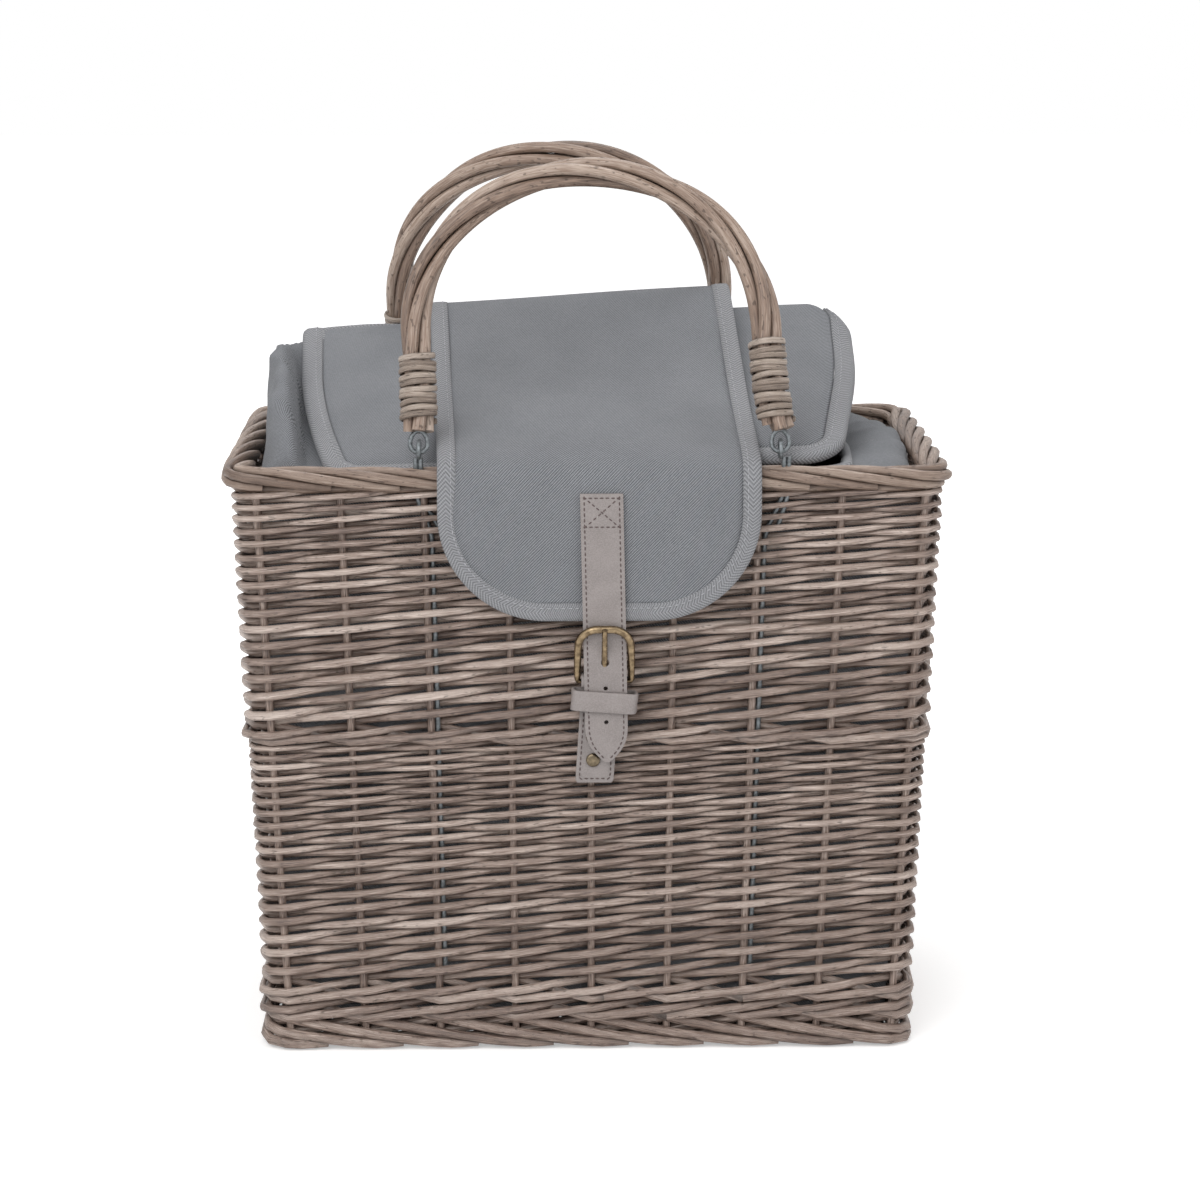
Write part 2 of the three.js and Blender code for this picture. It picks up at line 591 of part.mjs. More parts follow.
const strapY = Math.min(tapeFront, barY - loopOuter) - CLEARANCE;
const strapLowY = tabFront - RIVET_HEAD_HEIGHT - 3 * CLEARANCE;
const strapTopZ = BASKET_HEIGHT - STRAP_TOP_DROP;
const strapTipZ = BASKET_HEIGHT - STRAP_TIP_DROP;
const keeperTop = BASKET_HEIGHT - KEEPER_DROP;
const keeperBottom = keeperTop - KEEPER_HEIGHT;
const strapLine = [
  [strapY, strapTopZ],
  [strapY, barZ],
  [strapLowY, keeperTop],
  [strapLowY, strapTipZ],
];
const strapSheet = across(sheetOutline(strapLine, -STRAP_THICKNESS), STRAP_X, STRAP_WIDTH);
const half = STRAP_WIDTH / 2;
const strapOutline = new THREE.Shape([
  new THREE.Vector2(-half, strapTopZ),
  new THREE.Vector2(-half, strapTipZ + STRAP_POINT_LENGTH),
  new THREE.Vector2(0, strapTipZ),
  new THREE.Vector2(half, strapTipZ + STRAP_POINT_LENGTH),
  new THREE.Vector2(half, strapTopZ),
]);
const strapBlank = common(strapSheet, facing(strapOutline, -far, far).translate(STRAP_X, 0, 0));

// Buckle frame, tilted so that its top lies in front of the strap

const frameTopY = strapY - STRAP_THICKNESS - CLEARANCE - BUCKLE_WIRE * Math.SQRT1_2;
const frameReach = BUCKLE_HEIGHT - BUCKLE_WIRE;
const frameTilt = Math.asin((barY - frameTopY) / frameReach);

function buckleOutline(inset) {
  const x = BUCKLE_WIDTH / 2 - inset;
  const bottom = inset - BUCKLE_WIRE / 2;
  const top = BUCKLE_HEIGHT - BUCKLE_WIRE / 2 - inset;
  const r = BUCKLE_CORNER - inset;
  const shape = new THREE.Shape();
  shape.moveTo(-x, bottom);
  shape.lineTo(x, bottom);
  shape.absarc(x - r, top - r, r, 0, Math.PI / 2);
  shape.absarc(r - x, top - r, r, Math.PI / 2, Math.PI);
  return shape;
}

const frameShape = buckleOutline(0);
frameShape.holes.push(buckleOutline(BUCKLE_WIRE));
const buckleFrame = extrude(frameShape, BUCKLE_WIRE).translate(0, 0, -BUCKLE_WIRE / 2).rotateX(Math.PI / 2);
add("buckle_frame", buckleFrame.rotateX(frameTilt).translate(STRAP_X, barY, barZ), brass);

// Prong: a ring on the bar and a pin that comes through the strap and rests on the frame's top

const prongOuter = loopInner + 2 * PRONG_RADIUS * Math.SQRT1_2;
const ringShape = new THREE.Shape().absarc(0, 0, prongOuter, 0, 2 * Math.PI);
ringShape.holes.push(new THREE.Path().absarc(0, 0, loopInner, 0, 2 * Math.PI));
const bar = new THREE.Vector3(STRAP_X, barY, barZ);
const upFrame = new THREE.Vector3(0, -Math.sin(frameTilt), Math.cos(frameTilt));
const outOfFrame = new THREE.Vector3(0, -Math.cos(frameTilt), -Math.sin(frameTilt));
const prongLift = BUCKLE_WIRE / 2 + PRONG_RADIUS + 2 * CLEARANCE;
const prongTip = bar.clone().addScaledVector(upFrame, BUCKLE_HEIGHT).addScaledVector(outOfFrame, prongLift);
const prongRoot = bar.clone().lerp(prongTip, (loopInner + PRONG_RADIUS * Math.SQRT1_2) / bar.distanceTo(prongTip));
const prongRing = across(ringShape, 0, PRONG_RING_WIDTH).translate(bar.x, bar.y, bar.z);
add("buckle_prong", join(prongRing, rodBetween(prongRoot, prongTip, PRONG_RADIUS, ROUND_STEPS)), brass);

const prongSlope = (prongTip.z - barZ) / (barY - prongTip.y);
const slotLow = barZ + (barY - strapY) * prongSlope - 3 * PRONG_RADIUS;
const slotHigh = barZ + (barY - strapY + STRAP_THICKNESS) * prongSlope + 3 * PRONG_RADIUS;
const slotHalf = PRONG_RADIUS + CLEARANCE;
const slot = box(STRAP_X - slotHalf, STRAP_X + slotHalf, -far, 0, slotLow, slotHigh);
const strapHoles = [1, 2].map((step) => {
  const z = slotLow - step * STRAP_HOLE_PITCH;
  return rodBetween(
    new THREE.Vector3(STRAP_X, 0, z),
    new THREE.Vector3(STRAP_X, -far, z),
    STRAP_HOLE_RADIUS,
    ROUND_STEPS,
  );
});
add("strap", cut(strapBlank, [slot, ...strapHoles]), leather);

// Keeper loop: goes round the tab and the strap

const keeperBack = tabBack + CLEARANCE;
const keeperFront = strapLowY - STRAP_THICKNESS - 2 * KEEPER_THICKNESS;
const keeperHalf = KEEPER_WIDTH / 2;
const keeperOuter = box(
  KEEPER_X - keeperHalf,
  KEEPER_X + keeperHalf,
  keeperFront - KEEPER_THICKNESS,
  keeperBack + KEEPER_THICKNESS,
  keeperBottom,
  keeperTop,
);
const keeperInner = box(
  KEEPER_X - keeperHalf + KEEPER_THICKNESS,
  KEEPER_X + keeperHalf - KEEPER_THICKNESS,
  keeperFront,
  keeperBack,
  keeperBottom - far,
  keeperTop + far,
);
add("keeper_loop", cut(keeperOuter, [keeperInner]), leather);

// Handles: drawn upright in their own plane with the pivot at the origin, then leant in over the basket

const bundleRadius = ROD_SPREAD + ROD_RADIUS;
const rodEnd = 2 * LOOP_RADIUS + WIRE_RADIUS + 2 * CLEARANCE;
const springLine = HANDLE_REACH - bundleRadius - ARCH_RISE;
const halfSpan = HANDLE_SPAN / 2;
const loopShankRadius = ROD_SPREAD - ROD_RADIUS - CLEARANCE;

// Middle line of a handle: up one leg, over an elliptical arch and down the other leg.
function archPoint(t) {
  const leg = springLine - rodEnd;
  const arch = (Math.PI / 2) * (halfSpan + ARCH_RISE);
  const gone = t * (2 * leg + arch);
  if (gone < leg) {
    return new THREE.Vector2(-halfSpan, rodEnd + gone);
  }
  if (gone > leg + arch) {
    return new THREE.Vector2(halfSpan, springLine - (gone - leg - arch));
  }
  const angle = (Math.PI * (gone - leg)) / arch;
  return new THREE.Vector2(-halfSpan * Math.cos(angle), springLine + ARCH_RISE * Math.sin(angle));
}

class TwistedRod extends THREE.Curve {
  constructor(phase) {
    super();
    this.phase = phase;
  }

  getPoint(t, target = new THREE.Vector3()) {
    const step = 1e-3;
    const middle = archPoint(t);
    const along = archPoint(Math.min(t + step, 1)).sub(archPoint(Math.max(t - step, 0))).normalize();
    const turn = this.phase + 2 * Math.PI * ROD_TWISTS * t;
    const inPlane = ROD_SPREAD * Math.cos(turn);
    const outOfPlane = ROD_SPREAD * Math.sin(turn);
    return target.set(middle.x - along.y * inPlane, outOfPlane, middle.y + along.x * inPlane);
  }
}

// Cane wound round a handle's end: rings of four corners along a helix, with a straight run at each end.
const caneInner = (bundleRadius + CLEARANCE) / Math.cos(Math.PI / BINDING_STEPS);

function caneRings() {
  const steps = BINDING_TURNS * BINDING_STEPS;
  const rings = [];
  for (let i = -1; i <= steps + 1; i += 1) {
    const wound = THREE.MathUtils.clamp(i, 0, steps);
    const angle = (2 * Math.PI * wound) / BINDING_STEPS;
    const out = new THREE.Vector3(Math.cos(angle), Math.sin(angle), 0);
    const along = new THREE.Vector3(-Math.sin(angle), Math.cos(angle), 0);
    const rise = (BINDING_PITCH * wound) / BINDING_STEPS;
    const middle = along.multiplyScalar((i - wound) * CANE_WIDTH).setZ(BINDING_START + CANE_WIDTH / 2 + rise);
    const corners = [
      [0, 1],
      [1, 1],
      [1, -1],
      [0, -1],
    ];
    rings.push(
      corners.map(([thick, wide]) => {
        const corner = middle.clone().addScaledVector(out, caneInner + thick * CANE_THICKNESS);
        return corner.setZ(middle.z + (wide * CANE_WIDTH) / 2);
      }),
    );
  }
  return rings;
}

const windings = caneRings();
const caneEnd = [
  [0, 1, 2],
  [0, 2, 3],
];
const caneMiddles = windings.map((corners) => corners[0].clone().lerp(corners[2], 0.5));
let leastGap = Infinity;
caneMiddles.forEach((p, i) => {
  caneMiddles.slice(i + BINDING_STEPS / 2).forEach((q) => {
    leastGap = Math.min(leastGap, p.distanceTo(q) - CANE_WIDTH);
  });
});
console.log(`handle binding: least gap to itself ${leastGap.toFixed(2)} mm`);

for (const handle of handles) {
  const group = new THREE.Group();
  group.position.set(handle.x, handle.side * pivotY, pivotZ);
  group.rotation.x = handle.side * THREE.MathUtils.degToRad(HANDLE_LEAN);
  basket.add(group);
  for (let i = 0; i < ROD_COUNT; i += 1) {
    const rod = new THREE.ExtrudeGeometry(polygon(ROD_RADIUS, ROD_SIDES), {
      steps: ROD_STEPS,
      bevelEnabled: false,
      extrudePath: new TwistedRod((2 * Math.PI * i) / ROD_COUNT),
    });
    add(`${handle.name}_handle_rod_${i + 1}`, rod, willow, group);
  }
  for (const hand of ["left", "right"]) {
    const x = (hand === "left" ? -1 : 1) * halfSpan;
    const loop = new THREE.TorusGeometry(LOOP_RADIUS, WIRE_RADIUS, WIRE_SIDES, RING_STEPS).rotateX(Math.PI / 2);
    loop.translate(x, 0, LOOP_RADIUS);
    const shankFoot = new THREE.Vector3(x, 0, 2 * LOOP_RADIUS);
    const shankTop = new THREE.Vector3(x, 0, rodEnd + LOOP_SHANK);
    const shank = rodBetween(shankFoot, shankTop, loopShankRadius, ROUND_STEPS);
    add(`handle_loop_${handle.name}_${hand}`, join(loop, shank), wire, group);
    add(`handle_binding_${handle.name}_${hand}`, tubeThrough(windings, caneEnd).translate(x, 0, 0), cane, group);
  }
}

export default basket;
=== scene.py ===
"""Chiller basket: a willow basket with a fitted cooler bag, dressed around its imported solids."""
import math
import random

import bmesh
import bpy
from mathutils import Matrix, Vector
from mathutils.kdtree import KDTree


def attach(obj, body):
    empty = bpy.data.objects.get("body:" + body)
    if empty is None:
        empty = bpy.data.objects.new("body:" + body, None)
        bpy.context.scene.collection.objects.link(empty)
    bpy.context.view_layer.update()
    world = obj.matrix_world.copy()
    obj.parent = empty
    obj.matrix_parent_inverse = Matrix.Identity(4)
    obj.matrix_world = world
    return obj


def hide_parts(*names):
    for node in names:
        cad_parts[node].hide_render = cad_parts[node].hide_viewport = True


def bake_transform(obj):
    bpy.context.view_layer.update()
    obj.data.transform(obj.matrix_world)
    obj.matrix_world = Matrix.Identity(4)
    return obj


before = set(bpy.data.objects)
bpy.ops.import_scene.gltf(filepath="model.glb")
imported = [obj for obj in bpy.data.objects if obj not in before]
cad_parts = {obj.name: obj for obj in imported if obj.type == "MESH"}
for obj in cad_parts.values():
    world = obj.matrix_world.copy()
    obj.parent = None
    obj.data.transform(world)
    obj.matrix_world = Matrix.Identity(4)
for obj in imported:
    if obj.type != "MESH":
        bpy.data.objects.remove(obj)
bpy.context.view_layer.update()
MM = 0.001

# Studio: a pale floor, an even white sky and three large soft lamps, as on a product table.
# The camera stands 1.7 m in front, a little above the handles, with a long lens.
scene = bpy.context.scene
scene.view_settings.view_transform = "Standard"


def placed(name, data):
    """A new object of the scene."""
    thing = bpy.data.objects.new(name, data)
    scene.collection.objects.link(thing)
    return thing


camera = placed("camera", bpy.data.cameras.new("camera"))
camera.data.sensor_width = 36
camera.data.lens = 102.3
camera.location = (-0.025, -1.707, 0.572)
camera.rotation_euler = (math.pi / 2 - 0.2095, 0, -0.0193)
scene.camera = camera


def add_node(tree, kind, inputs=None, **settings):
    """A node with its settings. Each input, by name or place, is a socket to link from or a value."""
    node = tree.nodes.new(kind)
    for label, value in settings.items():
        setattr(node, label, value)
    fill_inputs(node, inputs or {})
    return node


def fill_inputs(node, inputs):
    """Links or sets a node's inputs."""
    for label, value in inputs.items():
        if isinstance(value, bpy.types.NodeSocket):
            node.id_data.links.new(value, node.inputs[label])
        else:
            node.inputs[label].default_value = value


def maths(tree, operation, first, second=0.0):
    """The result of a Math node. Each input is a socket or a number."""
    return add_node(tree, "ShaderNodeMath", {0: first, 1: second}, operation=operation).outputs[0]


def eye_rays(tree):
    """1 for rays that show a surface to the eye: straight, mirrored or through glass."""
    rays = add_node(tree, "ShaderNodeLightPath").outputs
    seen = maths(tree, "MAXIMUM", rays["Is Camera Ray"], rays["Is Glossy Ray"])
    return maths(tree, "MAXIMUM", seen, rays["Is Transmission Ray"])


world = bpy.data.worlds.new("studio")
scene.world = world
world.use_nodes = True
sky_level = add_node(world.node_tree, "ShaderNodeMapRange",
                     {"Value": eye_rays(world.node_tree), "To Min": 0.33, "To Max": 1.0})
fill_inputs(world.node_tree.nodes["Background"], {"Strength": sky_level.outputs[0], "Color": (1, 1, 1, 1)})
for name, place, aim, width, power in (("key_lamp", (-1.2, -2.1, 2.2), (0, 0, 0.2), 2.6, 62),
                                       ("fill_lamp", (1.9, -1.3, 1.2), (0, 0, 0.2), 1.5, 12),
                                       ("top_lamp", (0.2, 0.9, 2.4), (0, 0, 0.3), 1.4, 20)):
    lamp = placed(name, bpy.data.lights.new(name, "AREA"))
    lamp.data.size = width
    lamp.data.energy = power
    lamp.location = place
    lamp.rotation_euler = (Vector(aim) - Vector(place)).to_track_quat("-Z", "Y").to_euler()


def new_finish(name):
    """A new material, its node tree and its Principled BSDF."""
    finish = bpy.data.materials.new(name)
    finish.use_nodes = True
    return finish, finish.node_tree, finish.node_tree.nodes["Principled BSDF"]


def object_place(tree):
    """The place on the piece itself, in metres."""
    return add_node(tree, "ShaderNodeTexCoord").outputs["Object"]


floor_mesh = bpy.data.meshes.new("floor")
floor_mesh.from_pydata([(-6, -6, 0), (6, -6, 0), (6, 6, 0), (-6, 6, 0)], [], [(0, 1, 2, 3)])
floor = placed("floor", floor_mesh)
floor_paint, floor_tree, floor_coat = new_finish("pale_floor")
# The floor glows to the eye, less near the basket: painted shade round the basket, so that its shadow shows.
floor_off = add_node(floor_tree, "ShaderNodeVectorMath", {0: object_place(floor_tree)}, operation="LENGTH")
floor_level = add_node(floor_tree, "ShaderNodeMapRange", {
    "Value": floor_off.outputs["Value"], "From Min": 0.3, "From Max": 1.2, "To Min": 0.4, "To Max": 0.75})
floor_glow = maths(floor_tree, "MULTIPLY", eye_rays(floor_tree), floor_level.outputs[0])
fill_inputs(floor_coat, {"Base Color": (0.93, 0.93, 0.93, 1), "Roughness": 0.9, "Specular IOR Level": 0,
                         "Emission Color": (1, 1, 1, 1), "Emission Strength": floor_glow})
floor_mesh.materials.append(floor_paint)


# Stakes: upright willow rods, 26 of them, spread evenly round the walls and leaning out with them.
# Every weaver passes in front of one and behind the next. Willow here is a matt, grey-brown stained rod
# with long fibres and a few dark knots.
STAKES = 26
STAKE_RADIUS = 1.9 * MM
STAKE_FIRST_X = 2 * MM
CORNER_X = 159.5 * MM
CORNER_Y = 87 * MM
CORNER_R = 10 * MM
ROUND = 4 * (CORNER_X + CORNER_Y) + 2 * math.pi * CORNER_R
STAKE_PITCH = ROUND / STAKES
HEIGHT = 296 * MM
WIDTH_SHARE = 0.925
DEPTH_SHARE = 188 / 210


def wall_point(stakes, z, out):
    """Point of the wall: stakes round from the front's middle to +X, height z, and out from the stakes."""
    length = (stakes * ROUND / STAKES + STAKE_FIRST_X + CORNER_X) % ROUND
    drawn_in = min(0.0, CORNER_R + out - 2 * MM)
    for half, other, turn in ((CORNER_X, CORNER_Y, -0.5), (CORNER_Y, CORNER_X, 0), (CORNER_X, CORNER_Y, 0.5),
                              (CORNER_Y, CORNER_X, 1)):
        angle = turn * math.pi
        face = Vector((math.cos(angle), math.sin(angle), 0))
        along = Vector((-face.y, face.x, 0))
        if length <= 2 * half:
            sideways = max(-half - drawn_in, min(half + drawn_in, length - half))
            at = along * sideways + face * (other + CORNER_R + out)
            break
        length -= 2 * half
        if length <= CORNER_R * math.pi / 2:
            angle += length / CORNER_R
            at = along * (half + drawn_in) + face * (other + drawn_in)
            at += Vector((math.cos(angle), math.sin(angle), 0)) * (CORNER_R + out - drawn_in)
            break
        length -= CORNER_R * math.pi / 2
    wide, deep = (share + (1 - share) * z / HEIGHT for share in (WIDTH_SHARE, DEPTH_SHARE))
    return Vector((at.x * wide, at.y * deep, z))


def new_tree(name, kind, inputs, outputs):
    """A node group with its sockets, its input's outputs, its output node and each input's identifier."""
    tree = bpy.data.node_groups.new(name, kind)
    keys = {}
    for way, sockets in (("INPUT", inputs), ("OUTPUT", outputs)):
        for label, sort in sockets.items():
            made = tree.interface.new_socket(label, in_out=way, socket_type="NodeSocket" + sort)
            keys[label] = made.identifier
    return tree, tree.nodes.new("NodeGroupInput").outputs, tree.nodes.new("NodeGroupOutput"), keys


# Sweeps a round rod of changing thickness along each path of edges.
rods_tree, rods_in, rods_out, rods_keys = new_tree(
    "rods_on_paths", "GeometryNodeTree", {"Paths": "Geometry", "Sides": "Int", "Finish": "Material"},
    {"Rods": "Geometry"})
rod_lines = add_node(rods_tree, "GeometryNodeMeshToCurve", {"Mesh": rods_in["Paths"]})
rod_thick = add_node(rods_tree, "GeometryNodeInputNamedAttribute", {"Name": "thickness"}, data_type="FLOAT")
rod_ring = add_node(rods_tree, "GeometryNodeCurvePrimitiveCircle", {
    "Resolution": rods_in["Sides"], "Radius": 1})
rod_share = add_node(rods_tree, "GeometryNodeSplineParameter")
rod_section = add_node(rods_tree, "GeometryNodeStoreNamedAttribute", {
    "Geometry": rod_ring.outputs["Curve"], "Name": "around", "Value": rod_share.outputs["Factor"]})
rod_sweep = add_node(rods_tree, "GeometryNodeCurveToMesh", {
    "Curve": rod_lines.outputs["Curve"], "Profile Curve": rod_section.outputs["Geometry"],
    "Scale": rod_thick.outputs["Attribute"], "Fill Caps": True})


def real_and_painted(tree, made, finish, out):
    """Ends a geometry tree: its instances become a mesh with the finish on it."""
    real = add_node(tree, "GeometryNodeRealizeInstances", {"Geometry": made})
    painted = add_node(tree, "GeometryNodeSetMaterial", {
        "Geometry": real.outputs["Geometry"], "Material": finish})
    fill_inputs(out, {0: painted.outputs["Geometry"]})


real_and_painted(rods_tree, rod_sweep.outputs["Mesh"], rods_in["Finish"], rods_out)


def made_plain(name, source, tree, values):
    """The result of a node tree on a source mesh, as a plain smooth mesh object."""
    worker = placed(name + "_paths", source)
    modifier = worker.modifiers.new("tree", "NODES")
    modifier.node_group = tree
    for identifier, value in values.items():
        modifier[identifier] = value
    mesh = applied_mesh(worker)
    bpy.data.objects.remove(worker)
    bpy.data.meshes.remove(source)
    mesh.name = name
    mesh.shade_smooth()
    return placed(name, mesh)


def applied_mesh(piece):
    """A piece's mesh with its modifiers applied."""
    graph = bpy.context.evaluated_depsgraph_get()
    shaped = piece.evaluated_get(graph)
    return bpy.data.meshes.new_from_object(shaped, preserve_all_data_layers=True, depsgraph=graph)


def set_values(mesh, label, values):
    """Stores one number for each point of a mesh."""
    mesh.attributes.new(label, "FLOAT", "POINT").data.foreach_set("value", values)


def get_values(mesh, label):
    """The numbers stored for the points of a mesh."""
    return [entry.value for entry in mesh.attributes[label].data]


def distances(points):
    """How far along a line each of its points is."""
    gone = [0.0]
    for a, b in zip(points, points[1:]):
        gone.append(gone[-1] + (b - a).length)
    return gone


JOIN_SHADE_REACH = 1.5 * MM
JOIN_SHADE_OWN = 8
JOIN_SHADE_NEAREST = 14


def mark_painted_join_shade(piece, rods):
    """Stores, for painted shade, how near each point of a piece of rods is to another rod: 1 where they
    touch, 0 further off.
    """
    marks = []
    for k, (path, shade, closed) in enumerate(rods):
        gone = distances([point for point, radius in path])
        for i, ((a, radius), (b, _)) in enumerate(zip(path, path[1:])):
            for step in range(3):
                marks.append((a.lerp(b, step / 3), k, gone[i] + (b - a).length * step / 3, radius))
    finder = KDTree(len(marks))
    for i, mark in enumerate(marks):
        finder.insert(mark[0], i)
    finder.balance()
    painted_join_shades = []
    mesh = piece.data
    for vertex, owner, length in zip(mesh.vertices, get_values(mesh, "rod"), get_values(mesh, "along")):
        gap = JOIN_SHADE_REACH
        for at, i, apart in finder.find_n(vertex.co, JOIN_SHADE_NEAREST):
            spot, k, gone, radius = marks[i]
            if k != round(owner) or abs(gone - length) > JOIN_SHADE_OWN * radius:
                gap = min(gap, apart - radius)
        painted_join_shades.append(1 - max(gap, 0.0) / JOIN_SHADE_REACH)
    set_values(mesh, "painted_join_shade", painted_join_shades)


def paths_mesh(name, lines):
    """A mesh of edges along lines of points. Each line comes with whether it closes."""
    points, edges = [], []
    for line, closed in lines:
        first = len(points)
        points += line
        edges += [(i, i + 1) for i in range(first, len(points) - 1)]
        if closed:
            edges.append((len(points) - 1, first))
    paths = bpy.data.meshes.new(name + "_paths")
    paths.from_pydata(points, edges, [])
    return paths


def rods_piece(name, rods, sides, finish):
    """One mesh of round rods. A rod is a list of (point, radius), a shade up to 1, and whether it closes."""
    lines = [[point for point, radius in path] for path, shade, closed in rods]
    paths = paths_mesh(name, [(line, rod[2]) for line, rod in zip(lines, rods)])
    set_values(paths, "thickness", [radius for path, shade, closed in rods for point, radius in path])
    set_values(paths, "shade", [shade for path, shade, closed in rods for entry in path])
    set_values(paths, "along", [gone for line in lines for gone in distances(line)])
    set_values(paths, "rod", [k for k, line in enumerate(lines) for point in line])
    piece = made_plain(name, paths, rods_tree, {rods_keys["Sides"]: sides, rods_keys["Finish"]: finish})
    if len(rods) > 1:
        mark_painted_join_shade(piece, rods)
    return piece


def attribute(tree, name):
    """A number stored on the piece's points."""
    return add_node(tree, "ShaderNodeAttribute", attribute_name=name).outputs["Fac"]


def vector(tree, x, y, z):
    """A vector from three sockets or numbers."""
    return add_node(tree, "ShaderNodeCombineXYZ", {0: x, 1: y, 2: z}).outputs[0]


def noise(tree, place, scale, detail=3.0):
    """Noise from 0 to 1 at a place."""
    inputs = {"Vector": place, "Scale": scale, "Detail": detail}
    return add_node(tree, "ShaderNodeTexNoise", inputs).outputs["Fac"]


def ramp(tree, value, stops):
    """A colour ramp through (place, (r, g, b)) stops, in linear light."""
    node = add_node(tree, "ShaderNodeValToRGB", {"Fac": value})
    while len(node.color_ramp.elements) < len(stops):
        node.color_ramp.elements.new(0.5)
    for element, (place, colour) in zip(node.color_ramp.elements, stops):
        element.position = place
        element.color = (*colour, 1)
    return node.outputs["Color"]


def mixed(tree, share, first, second):
    """A colour mix. Each input is a socket, a number or a colour."""
    first, second = ((*part, 1) if isinstance(part, tuple) else part for part in (first, second))
    return add_node(tree, "ShaderNodeMix", {0: share, 6: first, 7: second}, data_type="RGBA").outputs[2]


def bumped(tree, height, strength, depth):
    """A normal bent by a height."""
    inputs = {"Height": height, "Strength": strength, "Distance": depth}
    return add_node(tree, "ShaderNodeBump", inputs).outputs["Normal"]


def weighed(tree, first, share, second, second_share):
    """A weighed sum of two sockets."""
    return maths(tree, "ADD", maths(tree, "MULTIPLY", first, share),
                 maths(tree, "MULTIPLY", second, second_share))


# Fibre effect: streaks along a rod, a slow drift of tone and a few knots, from the rod's own coordinates.
fibre, fibre_in, fibre_out, _ = new_tree(
    "willow_fibre", "ShaderNodeTree", {"Streaks": "Float", "Knots": "Float"},
    {"Tone": "Float", "Knot": "Float", "Height": "Float"})
fibre_turn = maths(fibre, "MULTIPLY", attribute(fibre, "around"), 2 * math.pi)
fibre_seed = maths(fibre, "MULTIPLY", attribute(fibre, "shade"), 37.0)
fibre_length = attribute(fibre, "along")
fibre_x = maths(fibre, "ADD", maths(fibre, "COSINE", fibre_turn), fibre_seed)
fibre_y = maths(fibre, "SINE", fibre_turn)


def fibre_noise(stretch, scale, detail):
    """Noise on a rod's surface, so many times finer round the rod than along it."""
    place = vector(fibre, fibre_x, fibre_y, maths(fibre, "MULTIPLY", fibre_length, stretch))
    return noise(fibre, place, scale, detail)


fibre_streaks = fibre_noise(22.0, 5.0, 4.0)
fibre_slow = maths(fibre, "MULTIPLY", fibre_length, 14.0)
fibre_drift = noise(fibre, vector(fibre, fibre_seed, fibre_slow, 0.0), 1.0, 1.0)
fibre_spot = add_node(fibre, "ShaderNodeMapRange",
                      {"Value": fibre_noise(150.0, 1.9, 1.0), "From Min": 0.64, "From Max": 0.7}).outputs[0]
fill_inputs(fibre_out, {"Tone": weighed(fibre, fibre_streaks, fibre_in["Streaks"], fibre_drift, 0.5),
                        "Knot": maths(fibre, "MULTIPLY", fibre_spot, fibre_in["Knots"]),
                        "Height": maths(fibre, "ADD", fibre_streaks, fibre_spot)})


def willow_finish(name, dark, middle, pale, spread, streaks=1.6):
    """Stained willow: tone from each rod's own shade and fibres, and painted shade that darkens it where rods
    touch.
    """
    finish, tree, coat = new_finish(name)
    fibres = add_node(tree, "ShaderNodeGroup", {"Streaks": streaks, "Knots": 0.55}, node_tree=fibre)
    tone = maths(tree, "ADD", maths(tree, "MULTIPLY", attribute(tree, "shade"), spread),
                 maths(tree, "SUBTRACT", fibres.outputs["Tone"], (streaks + spread) / 2 - 0.25))
    colour = ramp(tree, tone, [(0.15, dark), (0.5, middle), (0.9, pale)])
    knotted = mixed(tree, fibres.outputs["Knot"], colour, tuple(0.35 * part for part in dark))
    # Painted shade: the colour darkens towards a deep brown where rods touch, in place of shade in the
    # crevices.
    join_shade_share = maths(tree, "MULTIPLY", maths(tree, "POWER", attribute(tree, "painted_join_shade"), 1.5), 0.8)
    rough = maths(tree, "ADD", maths(tree, "MULTIPLY", fibres.outputs["Height"], 0.2), 0.34)
    join_shaded_colour = mixed(tree, join_shade_share, knotted, tuple(0.3 * part for part in dark))
    fill_inputs(coat, {"Base Color": join_shaded_colour, "Roughness": rough, "Specular IOR Level": 0.5,
                       "Normal": bumped(tree, fibres.outputs["Height"], 0.35, 0.0004)})
    return finish


willow = willow_finish("stained_willow", (0.093, 0.063, 0.052), (0.32, 0.238, 0.198), (0.69, 0.585, 0.52),
                       0.32)
stake_chance = random.Random(11)
stake_rods = []
for i in range(STAKES):
    path = [(wall_point(i, z * MM, 0), STAKE_RADIUS) for z in range(8, 289, 14)]
    stake_rods.append((path, stake_chance.uniform(0, 0.6), False))
stakes = rods_piece("stakes", stake_rods, 8, willow)
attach(stakes, "basket")


# Woven bands: each is a French rand. A tapering weaver starts at every stake, thick end first, and climbs one
# row a stake, in front of one and behind the next, so that the rows slope up to the right and get finer.
ROW_STEPS = 6
SIDES = ("front", "back", "left", "right")


